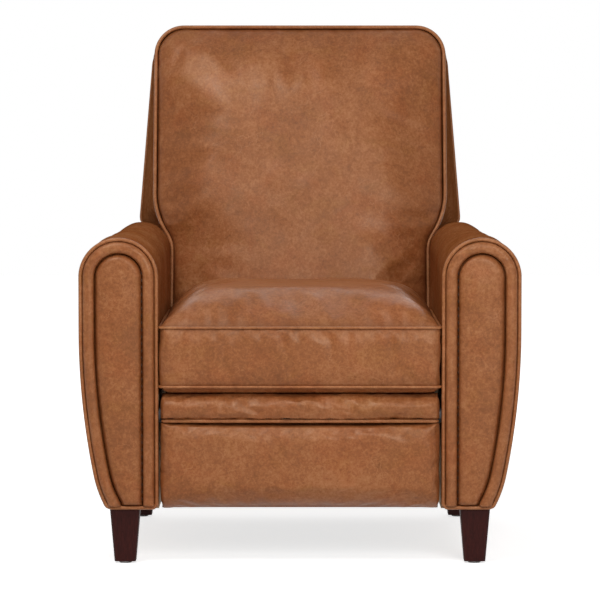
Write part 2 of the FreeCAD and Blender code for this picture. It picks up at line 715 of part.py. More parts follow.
def seat_cushion():
    """Loose box cushion: pulled-in bottom, upright boxing, crowned top."""
    half = ARM_INNER - CUSHION_GAP
    rise = CUSHION_CROWN - CUSHION_TOP_EDGE
    levels = [(CUSHION_BOTTOM, CUSHION_EDGE - CUSHION_BOTTOM), (CUSHION_EDGE, 0.0)]
    for step in range(CROWN_STEPS + 1):
        angle = math.radians(90.0 * step / CROWN_STEPS)
        levels.append((CUSHION_TOP_EDGE + rise * math.sin(angle), CROWN_INSET * (1 - math.cos(angle))))
    wires = []
    for z, inset in levels:
        wires.append(rounded(half - inset, DECK_REAR + inset, CUSHION_FRONT - inset, z, CUSHION_CORNER))
    return Part.makeLoft(wires, True, True)


# Back


def back_face(z):
    """Forward place of the front face of the back at a height."""
    return BACK_FACE - (z - BACK_FACE_HEIGHT) * BACK_SLOPE


def back_rear(z):
    """Forward place of the outside back at a height."""
    slope = (-BACK_REACH - BACK_REAR_BOTTOM) / (BACK_REAR_TOP - BACK_BOTTOM)
    return BACK_REAR_BOTTOM + slope * (z - BACK_BOTTOM)


def back_outline(face, wing_half, top_half, wing_radius, top, inset=0.0, sill=None):
    """T outline of the back on a leaning plane: narrow foot, sides hollowed round the arm tops,
    wings over the arms and round top corners.  With a sill the outline starts there, without foot."""
    arm_x, arm_z = ARM_INNER + arm_half(BACK_FACE), arm_spring(BACK_FACE)
    hollow = arm_half(BACK_FACE) + WING_GAP + inset
    wing = wing_half - inset
    head = top_half - inset
    foot = BACK_FOOT_HALF - inset
    lower = arm_x - hollow
    step = BACK_STEP + inset
    corner = BACK_TOP_RADIUS - inset
    peak = top - inset
    bend = max(wing_radius - inset, 1.0)
    across = arm_x - (wing - bend)
    rise = math.sqrt((hollow + bend) ** 2 - across ** 2)
    share = hollow / (hollow + bend)
    touch = (arm_x - share * across, arm_z + share * rise)
    lean = math.atan2(touch[1] - arm_z, touch[0] - arm_x)
    middle = (lean + math.pi) / 2
    hollow_mid = (arm_x + hollow * math.cos(middle), arm_z + hollow * math.sin(middle))
    turn_mid = math.atan2(-rise, across) / 2
    centre = (wing - bend, arm_z + rise)
    bend_mid = (centre[0] + bend * math.cos(turn_mid), centre[1] + bend * math.sin(turn_mid))
    diagonal = corner * (1 - math.sqrt(0.5))
    half = [
        ("line", (foot, BACK_BOTTOM + inset), (foot, step)),
        ("line", (foot, step), (lower, step)),
        ("line", (lower, step), (lower, arm_z)),
        ("arc", (lower, arm_z), hollow_mid, touch),
        ("arc", touch, bend_mid, (wing, centre[1])),
        ("line", (wing, centre[1]), (head, peak - corner)),
        ("arc", (head, peak - corner), (head - diagonal, peak - diagonal), (head - corner, peak)),
    ]

    foot_end = (foot, BACK_BOTTOM + inset)
    if sill is not None:
        foot_end = (lower, sill + inset)
        half[:3] = [("line", foot_end, (lower, arm_z))]

    def spot(point, side):
        return Vector(side * point[0], -face(point[1]), point[1])

    def edges(side, pieces):
        made = []
        for kind, *points in pieces:
            spots = [spot(p, side) for p in points]
            made.append(Part.LineSegment(*spots).toShape() if kind == "line" else Part.Arc(*spots).toShape())
        return made

    mirrored = [(kind, *reversed(points)) for kind, *points in reversed(half)]
    top_line = Part.LineSegment(spot((head - corner, peak), 1), spot((head - corner, peak), -1)).toShape()
    bottom_line = Part.LineSegment(spot(foot_end, -1), spot(foot_end, 1)).toShape()
    return Part.Wire(edges(1, half) + [top_line] + edges(-1, mirrored) + [bottom_line])


def back_block(inset=0.0):
    """Whole back between its front face and the outside back."""
    front = back_outline(back_face, BACK_FRONT_HALF, BACK_FRONT_HALF, WING_FRONT_RADIUS,
                         OVERALL_HEIGHT, inset)
    rear = back_outline(lambda z: back_rear(z) + inset, BACK_WING_HALF, BACK_REAR_TOP_HALF,
                        WING_REAR_RADIUS, BACK_REAR_TOP, inset)
    return Part.makeLoft([front, rear], True, True)


def back_slab(depth0, depth1):
    """Leaning slab between two depths behind the front face, wider than the back."""
    lean = math.radians(BACK_LEAN)
    shift0 = depth0 / math.cos(lean)
    shift1 = depth1 / math.cos(lean)
    low, high = 0.0, 2 * OVERALL_HEIGHT
    corners = [complex(back_face(low) - shift0, low), complex(back_face(high) - shift0, high),
               complex(back_face(high) - shift1, high), complex(back_face(low) - shift1, low)]
    return plate(corners, -HALF_WIDTH, 2 * HALF_WIDTH)


def back_swell():
    """Crown of the inside back above the seat cushion: faceted outlines drawn in as they come forwards."""
    wires = []
    for step in range(BACK_SWELL_STEPS + 1):
        angle = math.radians(90.0 * step / BACK_SWELL_STEPS)
        inset = WELT_DIAMETER + (BACK_SWELL_INSET - WELT_DIAMETER) * (1 - math.cos(angle))
        out = BACK_SWELL * math.sin(angle)
        outline = back_outline(lambda z: back_face(z) + out, BACK_FRONT_HALF, BACK_FRONT_HALF,
                               WING_FRONT_RADIUS, OVERALL_HEIGHT, inset, CUSHION_TOP_EDGE)
        spots = []
        for edge in outline.OrderedEdges:
            straight = isinstance(edge.Curve, Part.Line)
            run = edge.discretize(2 if straight else BACK_SWELL_FACETS + 1)
            if edge.Orientation == "Reversed":
                run.reverse()
            spots.extend(run[:-1])
        wires.append(Part.makePolygon(spots + spots[:1]))
    return Part.makeLoft(wires, True, True)


def back_pad():
    """Padding of the inside back, crowned, and grooved at its front edge for the welt."""
    block = back_block().common(back_slab(-CUT_MARGIN, BACK_PAD))
    return joined([block, back_swell()]).cut(back_welt(SOFT_GAP))


def back_shell():
    """Boxing and outside back: a tray behind the pad, open at the foot for the brackets."""
    behind = back_slab(BACK_PAD, OVERALL_HEIGHT)
    shell = back_block().common(behind).cut(back_block(SHELL_WALL))
    for side in (1, -1):
        x0 = side * (GUIDE_LAYER + SHEET / 2) - BOSS / 2
        slot = box(x0, x0 + BOSS, back_rear(BACK_STEP) + SHELL_WALL, 0,
                   BACK_STEP - CUT_MARGIN, BACK_STEP + 2 * SHELL_WALL)
        shell = shell.cut(slot)
    return shell


def back_stile_depths():
    """Depths of the front and rear face of the back frame."""
    return BACK_PAD, BACK_PAD + STILE_DEPTH


def back_frame():
    """Hardwood back frame: two stiles with top and bottom rail, against the pad."""
    slab = back_slab(*back_stile_depths())
    outer = GUIDE_LAYER
    inner = outer - STILE_WIDTH
    low = BACK_STEP + SHELL_WALL
    high = BACK_FRAME_TOP
    ring = box(-outer, outer, -2 * BACK_REACH, 0, low, high)
    ring = ring.cut(box(-inner, inner, -2 * BACK_REACH, 0, low + BACK_RAIL, high - BACK_RAIL))
    return ring.common(slab)


def back_strap(z):
    """Elastic webbing strap across the rear of the back frame."""
    depth = back_stile_depths()[1]
    slab = back_slab(depth, depth + WEBBING_THICKNESS)
    half = GUIDE_LAYER - SOFT_GAP
    return box(-half, half, -2 * BACK_REACH, 0, z, z + WEBBING_WIDTH).common(slab)


def back_straps():
    """All straps, evenly spread between the two rails."""
    low = BACK_STEP + SHELL_WALL + BACK_RAIL
    high = BACK_FRAME_TOP - BACK_RAIL
    pitch = (high - low) / WEBBING_COUNT
    return [back_strap(low + pitch * (i + 0.5) - WEBBING_WIDTH / 2) for i in range(WEBBING_COUNT)]


def stile_middle(z):
    """Middle of a stile at a height, side view."""
    near, far = back_stile_depths()
    return complex(back_face(z) - (near + far) / 2 / math.cos(math.radians(BACK_LEAN)), z)


def back_bracket():
    """Steel bracket from the back hinge up the outside of a stile, with the ear of the
    control link and its pin."""
    low = stile_middle(BACK_STEP + BACK_RAIL)
    high = stile_middle(BACK_BRACKET_TOP)
    blank = joined([
        bar(BACK_HINGE, low, CRANK_WIDTH, GUIDE_LAYER),
        bar(low, high, CRANK_WIDTH, GUIDE_LAYER),
        bar(BACK_HINGE, CONTROL_PIN, CRANK_WIDTH, GUIDE_LAYER),
    ])
    blank = hole(blank, BACK_HINGE, GUIDE_LAYER)
    return blank.fuse(rod(CONTROL_PIN, PIN_RADIUS, GUIDE_LAYER, SWING_LAYER + SHEET)).removeSplitter()


def back_welt(clearance=0.0):
    """Corded welt along the front edge of the back, up one side, over the top and down."""
    outline = back_outline(back_face, BACK_FRONT_HALF, BACK_FRONT_HALF, WING_FRONT_RADIUS, OVERALL_HEIGHT)
    edges = [e for e in outline.Edges if e.BoundBox.ZMax > arm_spring(BACK_FACE) + NEAR]
    path = Part.Wire(Part.__sortEdges__(edges))
    start = path.OrderedVertexes[0].Point
    tangent = path.OrderedEdges[0].tangentAt(path.OrderedEdges[0].FirstParameter)
    circle = Part.Wire(Part.makeCircle(WELT_DIAMETER / 2 + clearance, start, tangent))
    return path.makePipeShell([circle], True, True)


# Footrest


def footrest_board():
    """Plywood board of the footrest."""
    rear = footrest_back()
    edge = SEAT_HALF - FOOTREST_ROUND
    return box(-edge, edge, rear, rear + FOOTREST_BOARD, FOOTREST_BOTTOM + FOOTREST_ROUND,
               FOOTREST_TOP - FOOTREST_ROUND)


def pillow(z0, z1):
    """Padded panel on the footrest board, rounded at its front edges."""
    rear = footrest_back() + FOOTREST_BOARD
    block = box(-SEAT_HALF, SEAT_HALF, rear, CHAIR_FRONT, z0, z1)
    front = [e for e in block.Edges if e.BoundBox.YMax < -CHAIR_FRONT + NEAR]
    return block.makeFillet(FOOTREST_ROUND, front)


def footrest_welt():
    """Welt across the footrest between the upper band and the main panel."""
    half = SEAT_HALF - FOOTREST_ROUND
    place = complex(CHAIR_FRONT - WELT_DIAMETER, FOOTREST_SEAM)
    return rod(place, WELT_DIAMETER / 2, -half, half)


def two_sided(name, shape, parts):
    """Right and left piece under one name."""
    right, left = pair(shape)
    parts[name + "_right"] = [right]
    parts[name + "_left"] = [left]


def both(shapes):
    """Shapes of the right side with their mirrored twins."""
    made = []
    for shape in shapes:
        made.extend(pair(shape))
    return made


def build():
    """Every sub-part: name to list of solids."""
    parts = {}
    two_sided("arm_pad", arm_pad(), parts)
    two_sided("arm_frame", arm_frame(), parts)
    two_sided("arm_roll", arm_roll(), parts)
    two_sided("arm_panel", arm_panel(), parts)
    two_sided("arm_welt", arm_welt(), parts)
    two_sided("front_leg", leg(FRONT_LEG_PLACE), parts)
    two_sided("rear_leg", leg(REAR_LEG_PLACE), parts)
    parts["leg_glides"] = both([glide(FRONT_LEG_PLACE), glide(REAR_LEG_PLACE)])
    parts["leg_bolts"] = both([bolt(FRONT_LEG_PLACE), bolt(REAR_LEG_PLACE)])
    parts["front_stretcher"] = [front_stretcher()]
    parts["rear_rail"] = [rear_rail()]
    parts["rear_apron"] = [rear_apron()]
    two_sided("base_plate", base_plate(), parts)
    parts["base_pivot_studs"] = both(base_studs())
    two_sided("rear_link", seat_link(REAR_BASE, REAR_SEAT, False), parts)
    parts["rear_torque_tube"] = [torque_tube()]
    two_sided("front_link", seat_link(FRONT_BASE, FRONT_SEAT, True), parts)
    parts["seat_frame"] = [seat_frame()]
    two_sided("seat_plate", seat_plate(), parts)
    parts["seat_pivot_studs"] = both(seat_studs())
    parts["seat_springs"] = [seat_spring(x) for x in spring_lanes()]
    rails = (SEAT_REAR + SEAT_FRONT_RAIL / 2, SEAT_FRONT - SEAT_FRONT_RAIL / 2)
    parts["spring_clips"] = [spring_clip(x, u) for x in spring_lanes() for u in rails]
    parts["seat_deck"] = [seat_deck()]
    parts["seat_cushion"] = [seat_cushion()]
    parts["back_frame"] = [back_frame()]
    parts["back_pad"] = [back_pad()]
    parts["back_shell"] = [back_shell()]
    parts["back_webbing"] = back_straps()
    two_sided("back_bracket", back_bracket(), parts)
    parts["back_welt"] = [back_welt()]
    two_sided("back_control_link", control_bar(), parts)
    two_sided("guide_link", guide_link(), parts)
    two_sided("swing_link", swing_link(), parts)
    two_sided("carrier_link", carrier_link(), parts)
    two_sided("stay_link", stay_link(), parts)
    two_sided("footrest_bracket", footrest_bracket(), parts)
    parts["footrest_board"] = [footrest_board()]
    seam = WELT_DIAMETER / 2
    parts["footrest_pad"] = [pillow(FOOTREST_BOTTOM, FOOTREST_SEAM - seam)]
    parts["footrest_band"] = [pillow(FOOTREST_SEAM + seam, FOOTREST_TOP)]
    parts["footrest_welt"] = [footrest_welt()]
    return parts


def write(parts):
    """One file per sub-part."""
    os.makedirs("parts", exist_ok=True)
    for name, solids in parts.items():
        shape = solids[0] if len(solids) == 1 else Part.makeCompound(solids)
        shape.exportStep(os.path.join("parts", name + ".step"))


if __name__ == "__main__":
    write(build())
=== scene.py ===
import math

import bmesh
import bpy
import numpy as np
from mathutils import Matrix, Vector


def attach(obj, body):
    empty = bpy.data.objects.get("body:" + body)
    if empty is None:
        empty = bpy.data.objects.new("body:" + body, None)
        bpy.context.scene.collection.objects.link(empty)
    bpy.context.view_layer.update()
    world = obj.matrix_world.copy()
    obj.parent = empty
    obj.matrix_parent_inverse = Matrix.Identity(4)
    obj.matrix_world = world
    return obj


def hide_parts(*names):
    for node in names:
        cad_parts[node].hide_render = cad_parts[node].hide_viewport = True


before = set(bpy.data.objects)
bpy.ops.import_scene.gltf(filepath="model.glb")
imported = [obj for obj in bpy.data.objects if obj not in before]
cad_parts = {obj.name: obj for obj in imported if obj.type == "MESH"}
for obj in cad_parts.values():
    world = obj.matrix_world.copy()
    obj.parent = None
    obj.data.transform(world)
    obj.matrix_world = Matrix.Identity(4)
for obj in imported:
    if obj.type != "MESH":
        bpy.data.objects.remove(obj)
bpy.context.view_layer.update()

# Hidden timber: arm frames, stretcher, rear rail, seat frame, back frame and footrest board.
# Sawn hardwood and plywood, glued and stapled, left bare because the leather covers it.


def wire(tree, source, target):
    """Joins an output socket to an input socket, or sets the input where the source is a plain value."""
    if isinstance(source, bpy.types.NodeSocket):
        tree.links.new(source, target)
    else:
        target.default_value = source


def add(tree, kind, inputs=(), **settings):
    """New shader node with its own settings; inputs go by name or number."""
    node = tree.nodes.new(kind)
    for key, value in settings.items():
        setattr(node, key, value)
    for key, value in dict(inputs).items():
        wire(tree, value, node.inputs[key])
    return node


def finish_of(name):
    """New material with an empty Principled shader; gives the material, its tree and the shader."""
    material = bpy.data.materials.new(name)
    material.use_nodes = True
    tree = material.node_tree
    return material, tree, tree.nodes["Principled BSDF"]


def ramp(tree, source, stops):
    """Colour ramp over a value: stops are (place, colour)."""
    node = add(tree, "ShaderNodeValToRGB", {"Fac": source})
    bar = node.color_ramp
    while len(bar.elements) < len(stops):
        bar.elements.new(0.5)
    for element, (place, colour) in zip(bar.elements, stops):
        element.position = place
        element.color = (*colour, 1.0)
    return node.outputs["Color"]


def noise(tree, vector, scale, detail=4.0, rough=0.55, distortion=0.0):
    """Noise value on a coordinate."""
    node = add(tree, "ShaderNodeTexNoise", {"Vector": vector, "Scale": scale, "Detail": detail,
                                            "Roughness": rough, "Distortion": distortion})
    return node.outputs["Fac"]


def spread(tree, source, low, high, to_low, to_high):
    """Value mapped smoothly from one span to another, held at the ends."""
    node = add(tree, "ShaderNodeMapRange", {"Value": source, "From Min": low, "From Max": high,
                                            "To Min": to_low, "To Max": to_high},
               interpolation_type="SMOOTHSTEP")
    return node.outputs["Result"]


def place(tree, stretch=(1.0, 1.0, 1.0)):
    """Object coordinates, stretched per axis."""
    coordinates = add(tree, "ShaderNodeTexCoord").outputs["Object"]
    return add(tree, "ShaderNodeMapping", {"Vector": coordinates, "Scale": stretch}).outputs["Vector"]


def relief(tree, height, shader, strength, depth):
    """Bump from a height value into a shader's normal."""
    bump = add(tree, "ShaderNodeBump", {"Height": height, "Strength": strength, "Distance": depth})
    wire(tree, bump.outputs["Normal"], shader.inputs["Normal"])


def timber(name, dark, mid, pale, stretch, roughness):
    """Wood with growth lines along one axis, pores and an uneven finish."""
    material, tree, shader = finish_of(name)
    grain_place = place(tree, stretch)
    rings = noise(tree, grain_place, 26.0, 8.0, 0.62, 1.4)
    pores = noise(tree, grain_place, 240.0, 2.0, 0.5)
    tone = ramp(tree, rings, [(0.28, dark), (0.5, mid), (0.72, pale)])
    wire(tree, tone, shader.inputs["Base Color"])
    uneven = spread(tree, pores, 0.3, 0.7, roughness - 0.07, roughness + 0.1)
    wire(tree, uneven, shader.inputs["Roughness"])
    relief(tree, pores, shader, 0.25, 0.0006)
    return material


def dress(names, material):
    """Gives CAD nodes a finish."""
    for name in names:
        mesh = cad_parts[name].data
        mesh.materials.clear()
        mesh.materials.append(material)


ALONG_X, ALONG_Y, ALONG_Z = (1.2, 9.0, 9.0), (9.0, 1.2, 9.0), (9.0, 9.0, 1.2)
BARE_ROUGHNESS = 0.62
FRAME_TIMBER = timber("frame_timber", (0.30, 0.19, 0.10), (0.47, 0.32, 0.18), (0.60, 0.43, 0.26),
                      ALONG_Y, BARE_ROUGHNESS)
dress(["arm_frame_left", "arm_frame_right", "seat_frame"], FRAME_TIMBER)
CROSS_TIMBER = timber("cross_timber", (0.28, 0.18, 0.10), (0.45, 0.30, 0.17), (0.57, 0.41, 0.24),
                      ALONG_X, BARE_ROUGHNESS)
dress(["front_stretcher", "rear_rail", "footrest_board"], CROSS_TIMBER)
BACK_TIMBER = timber("back_timber", (0.29, 0.18, 0.10), (0.46, 0.31, 0.17), (0.58, 0.42, 0.25),
                     ALONG_Z, BARE_ROUGHNESS)
dress(["back_frame"], BACK_TIMBER)

# Reclining mechanism: stamped sheet steel plates and links with riveted pins and one torque tube.
# Dipped in black enamel, worn to bare metal in small patches where the sheets rub.


def enamel(name, coat, bare, wear):
    """Enamelled steel: a cloudy coat, scuffed to bare metal in small patches."""
    material, tree, shader = finish_of(name)
    here = place(tree)
    patches = spread(tree, noise(tree, here, 38.0, 6.0, 0.65), 0.62, 0.72, 0.0, wear)
    cloud = noise(tree, here, 9.0, 3.0)
    thin, thick = tuple(c * 1.35 for c in coat), tuple(c * 0.75 for c in coat)
    tone = ramp(tree, cloud, [(0.3, thick), (0.7, thin)])
    mix = add(tree, "ShaderNodeMix", {"Factor": patches, "A": tone, "B": (*bare, 1.0)}, data_type="RGBA")
    wire(tree, mix.outputs["Result"], shader.inputs["Base Color"])
    wire(tree, patches, shader.inputs["Metallic"])
    wire(tree, spread(tree, cloud, 0.3, 0.7, 0.34, 0.5), shader.inputs["Roughness"])
    relief(tree, noise(tree, here, 420.0, 2.0), shader, 0.12, 0.0004)
    return material


def reflect(material, level):
    """Sets how strongly a finish mirrors its surroundings."""
    material.node_tree.nodes["Principled BSDF"].inputs["Specular IOR Level"].default_value = level


LINK_ENAMEL = enamel("link_enamel", (0.022, 0.022, 0.024), (0.42, 0.41, 0.40), 0.8)
PAIRED_STEEL = ("base_plate", "rear_link", "front_link", "seat_plate", "back_bracket", "back_control_link",
                "guide_link", "swing_link", "carrier_link", "stay_link", "footrest_bracket")
dress([part + hand for part in PAIRED_STEEL for hand in ("_left", "_right")], LINK_ENAMEL)
dress(["rear_torque_tube"], LINK_ENAMEL)
PIN_STEEL = enamel("pin_steel", (0.34, 0.33, 0.31), (0.56, 0.55, 0.53), 0.9)
reflect(PIN_STEEL, 0.6)
dress(["base_pivot_studs", "seat_pivot_studs", "leg_bolts"], PIN_STEEL)

# Suspension: sinuous springs clipped over the seat rails under a cloth deck, and elastic webbing
# stapled across the back frame.
SPRING_WIRE = enamel("spring_wire", (0.16, 0.15, 0.14), (0.40, 0.38, 0.35), 0.7)
dress(["seat_springs", "spring_clips"], SPRING_WIRE)


def woven(name, thread, gap, pitch):
    """Plain weave: two crossed sets of ribs on Object coordinates."""
    material, tree, shader = finish_of(name)
    ribs = [add(tree, "ShaderNodeTexWave", {"Vector": place(tree), "Scale": pitch, "Distortion": 0.6},
                bands_direction=axis).outputs["Fac"] for axis in ("X", "Z")]
    weave = add(tree, "ShaderNodeMath", {0: ribs[0], 1: ribs[1]}, operation="MULTIPLY")
    tone = ramp(tree, weave.outputs["Value"], [(0.1, gap), (0.6, thread)])
    wire(tree, tone, shader.inputs["Base Color"])
    shader.inputs["Roughness"].default_value = 0.9
    relief(tree, weave.outputs["Value"], shader, 0.5, 0.0006)
    return material


DECK_CLOTH = woven("deck_cloth", (0.055, 0.048, 0.042), (0.02, 0.017, 0.015), 130.0)
dress(["seat_deck", "back_webbing"], DECK_CLOTH)

# Legs: square tapered hardwood with a dark mahogany stain and a satin lacquer, each held up into
# the arm frame by a hanger bolt, with a grey nylon glide nailed under it.
LEG_TIMBER = timber("leg_mahogany", (0.018, 0.0030, 0.0022), (0.034, 0.0056, 0.0042),
                    (0.050, 0.0090, 0.0066), (10.0, 10.0, 1.6), 0.46)
reflect(LEG_TIMBER, 0.12)
dress(["front_leg_left", "front_leg_right", "rear_leg_left", "rear_leg_right"], LEG_TIMBER)


def flecked(name, scale, dark, pale):
    """Plain finish that varies finely between two colours; gives the material, its tree and the shader."""
    material, tree, shader = finish_of(name)
    fleck = ramp(tree, noise(tree, place(tree), scale), [(0.3, dark), (0.7, pale)])
    wire(tree, fleck, shader.inputs["Base Color"])
    return material, tree, shader


GLIDE_NYLON, glide_tree, glide_shader = flecked("glide_nylon", 60.0, (0.40, 0.39, 0.38), (0.58, 0.57, 0.56))
scuffs = spread(glide_tree, noise(glide_tree, place(glide_tree), 300.0), 0.3, 0.7, 0.5, 0.7)
wire(glide_tree, scuffs, glide_shader.inputs["Roughness"])
dress(["leg_glides"], GLIDE_NYLON)

# Leather: waxed cognac hide, mottled and veined, darker in and near the seams, with painted shade mixed with
# some edge patina in wider bands along edges, by grooves and where parts meet, matt on the chair's sides and
# paler on the corded welts. The hide group gives tone, gloss and grain from Object coordinates and the
# per-point darkening attribute of a piece, which carries both the dark seams and painted shade.


def hide_group():
    """Shader group of the hide: colour, roughness and height for a piece of leather."""
    tree = bpy.data.node_groups.new("hide", "ShaderNodeTree")
    for way, kind, labels in (("INPUT", "NodeSocketColor", ("Deep", "Tone", "Pale")),
                              ("INPUT", "NodeSocketFloat", ("Seam",)),
                              ("OUTPUT", "NodeSocketColor", ("Color",)),
                              ("OUTPUT", "NodeSocketFloat", ("Roughness", "Height"))):
        for label in labels:
            tree.interface.new_socket(label, in_out=way, socket_type=kind)
    given = add(tree, "NodeGroupInput")
    made = add(tree, "NodeGroupOutput")
    here = place(tree)

    def blend(factor, a, b, mode="MIX"):
        mix = add(tree, "ShaderNodeMix", {"Factor": factor, "A": a, "B": b}, data_type="RGBA", blend_type=mode)
        return mix.outputs["Result"]

    def maths(operation, a, b):
        return add(tree, "ShaderNodeMath", {0: a, 1: b}, operation=operation).outputs["Value"]

    cloud = noise(tree, here, 6.0, 4.0, 0.55, 0.5)
    marble = noise(tree, here, 27.0, 6.0, 0.62, 0.8)
    grainy = noise(tree, here, 92.0, 6.0, 0.68, 0.5)
    fleck = noise(tree, here, 210.0, 4.0, 0.7)
    mottle = maths("MULTIPLY", cloud, 0.22)
    for layer, weight in ((marble, 0.16), (grainy, 0.30), (fleck, 0.32)):
        mottle = maths("ADD", mottle, maths("MULTIPLY", layer, weight))
    base = blend(spread(tree, mottle, 0.38, 0.53, 0.48, 1.0), given.outputs["Deep"], given.outputs["Tone"])
    base = blend(spread(tree, mottle, 0.48, 0.62, 0.0, 0.85), base, given.outputs["Pale"])
    ruddy, tawny = (1.0, 0.88, 0.80, 1.0), (0.94, 0.96, 0.80, 1.0)
    for tint, stretch, scale, low, high, most in ((ruddy, (1.0, 1.3, 0.8), 13.0, 0.46, 0.66, 0.75),
                                                  (tawny, (0.8, 1.0, 1.4), 17.0, 0.50, 0.68, 0.70)):
        blotch = noise(tree, place(tree, stretch), scale, 4.0, 0.6, 0.6)
        base = blend(spread(tree, blotch, low, high, 0.0, most), base, tint, "MULTIPLY")

    swirl = add(tree, "ShaderNodeTexNoise", {"Vector": here, "Scale": 16.0, "Detail": 5.0})
    shrink = add(tree, "ShaderNodeVectorMath", {0: swirl.outputs["Color"], "Scale": 0.09}, operation="SCALE")
    bent = add(tree, "ShaderNodeVectorMath", {0: here, 1: shrink.outputs["Vector"]}, operation="ADD")

    def cracks(scale, width, shown):
        """Thin lines between cells of the bent coordinates, only where shown."""
        cells = add(tree, "ShaderNodeTexVoronoi", {"Vector": bent.outputs["Vector"], "Scale": scale},
                    feature="DISTANCE_TO_EDGE")
        return maths("MULTIPLY", spread(tree, cells.outputs["Distance"], 0.0, width, 1.0, 0.0), shown)

    patch = spread(tree, noise(tree, here, 11.0, 4.0), 0.5, 0.64, 0.0, 1.0)
    wear_and_shade = spread(tree, noise(tree, place(tree, (1.2, 1.0, 0.9)), 19.0, 4.0), 0.5, 0.66, 0.0, 0.6)
    veins = maths("MAXIMUM", cracks(22.0, 0.018, patch), cracks(58.0, 0.035, wear_and_shade))
    veins = maths("MULTIPLY", veins, 0.65)
    base = blend(veins, base, given.outputs["Pale"])
    # Darkens towards Deep by the per-point darkening value: dark joints at the seams and painted shade in wider
    # bands.
    base = blend(maths("MULTIPLY", given.outputs["Seam"], 0.62), base, given.outputs["Deep"])
    wire(tree, base, made.inputs["Color"])

    gloss = spread(tree, marble, 0.3, 0.7, 0.33, 0.44)
    dull_seam = maths("MULTIPLY", given.outputs["Seam"], 0.12)
    wire(tree, maths("ADD", gloss, dull_seam), made.inputs["Roughness"])

    pebble = add(tree, "ShaderNodeTexVoronoi", {"Vector": here, "Scale": 520.0}, feature="SMOOTH_F1")
    grain = maths("MULTIPLY", pebble.outputs["Distance"], 0.30)
    crease = maths("MULTIPLY", noise(tree, here, 70.0, 7.0, 0.62, 0.8), 0.75)
    height = maths("SUBTRACT", maths("ADD", grain, crease), maths("MULTIPLY", veins, 0.25))
    wire(tree, height, made.inputs["Height"])
    return tree


HIDE = hide_group()


def leather(name, deep, tone, pale, bump=0.36, shine=0.42):
    """Leather finish from the hide group, with warm highlights; a shine of 0 makes it matt."""
    material, tree, shader = finish_of(name)
    seam_and_shade = add(tree, "ShaderNodeAttribute", attribute_name="seam_and_shade").outputs["Fac"]
    hide = add(tree, "ShaderNodeGroup", {"Deep": (*deep, 1.0), "Tone": (*tone, 1.0), "Pale": (*pale, 1.0),
                                         "Seam": seam_and_shade}, node_tree=HIDE)
    wire(tree, hide.outputs["Color"], shader.inputs["Base Color"])
    wire(tree, hide.outputs["Roughness"], shader.inputs["Roughness"])
    wire(tree, shine, shader.inputs["Specular IOR Level"])
    wire(tree, (1.0, 0.78, 0.58, 1.0), shader.inputs["Specular Tint"])
    relief(tree, hide.outputs["Height"], shader, bump, 0.0012)
    return material


COGNAC = leather("cognac_leather", (0.118, 0.030, 0.007), (0.298, 0.098, 0.031), (0.410, 0.168, 0.069))
SIDE_COGNAC = leather("side_leather", (0.135, 0.036, 0.008), (0.300, 0.100, 0.032), (0.400, 0.165, 0.068),
                      shine=0.0)
WELT_COGNAC = leather("welt_leather", (0.150, 0.042, 0.011), (0.325, 0.115, 0.040), (0.430, 0.185, 0.080),
                      bump=0.2)


def waves(points, size, seed, count=14):
    """Smooth unevenness: the mean of seeded sine waves in random directions, about -1 to 1."""
    rng = np.random.default_rng(seed)
    direction = rng.normal(size=(count, 3))
    direction /= np.linalg.norm(direction, axis=1)[:, None]
    direction *= (2 * np.pi / size) * rng.uniform(0.6, 1.5, count)[:, None]
    phase = rng.uniform(0, 2 * np.pi, count)
    return np.sin(points @ direction.T + phase).sum(axis=-1) / math.sqrt(count)


def quads_of(rows, columns, wrap=False):
    """Quads of a grid of rows by columns, with the columns closed into a ring where wrap is set."""
    index = np.arange(rows * columns).reshape(rows, columns)
    right = np.roll(index, -1, axis=1) if wrap else index[:, 1:]
    left = index if wrap else index[:, :-1]
    return np.stack([left[:-1], right[:-1], right[1:], left[1:]], axis=-1).reshape(-1, 4)


def up_to(value, width):
    """Straight rise from 0 at 0 to 1 at width, held at both ends."""
    return np.clip(value / width, 0, 1)


def shoulder(gap, width):
    """Quarter round from 0 at an edge to 1 at a distance of width from it."""
    return np.sqrt(1 - (1 - up_to(gap, width)) ** 2)


def darkening(gap, line, share, band):
    """Darkening value by distance: a dark seam line that fades out over line, or share of one that fades over
    band, which is painted shade mixed with some edge patina.
    """
    return np.maximum(np.exp(-gap / line), share * np.exp(-gap / band))


def two_sheets(front, back, seam_and_shade):
    """Shape of a closed pad from two grids of one size, the second with its faces turned round."""
    rows, columns = front.shape[:2]
    quads = quads_of(rows, columns)
    return (np.concatenate([front.reshape(-1, 3), back.reshape(-1, 3)]),
            np.concatenate([quads, quads[:, ::-1] + rows * columns]),
            np.concatenate([seam_and_shade.ravel(), seam_and_shade.ravel()]))


def piece(name, shape, material, body, levels=0):
    """Mesh object from a shape, which is points, quads and, for a hide, darkening values for the dark seams and
    painted shade: doubles merged, faces turned outwards, smooth, riding on a body."""
    points, quads, *seam_and_shade = shape
    mesh = bpy.data.meshes.new(name)
    mesh.from_pydata(np.asarray(points, float).reshape(-1, 3).tolist(), [], np.asarray(quads).tolist())
    if seam_and_shade:
        layer = mesh.attributes.new("seam_and_shade", "FLOAT", "POINT")
        layer.data.foreach_set("value", np.asarray(seam_and_shade[0], np.float32).ravel())
    work = bmesh.new()
    work.from_mesh(mesh)
    bmesh.ops.remove_doubles(work, verts=work.verts, dist=2e-5)
    bmesh.ops.recalc_face_normals(work, faces=work.faces)
    work.to_mesh(mesh)
    work.free()
    mesh.polygons.foreach_set("use_smooth", np.ones(len(mesh.polygons), bool))
    mesh.materials.append(material)
    thing = bpy.data.objects.new(name, mesh)
    bpy.context.scene.collection.objects.link(thing)
    if levels:
        fine = thing.modifiers.new("Fine", "SUBSURF")
        fine.levels = levels
        fine.render_levels = levels
    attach(thing, body)
    return thing


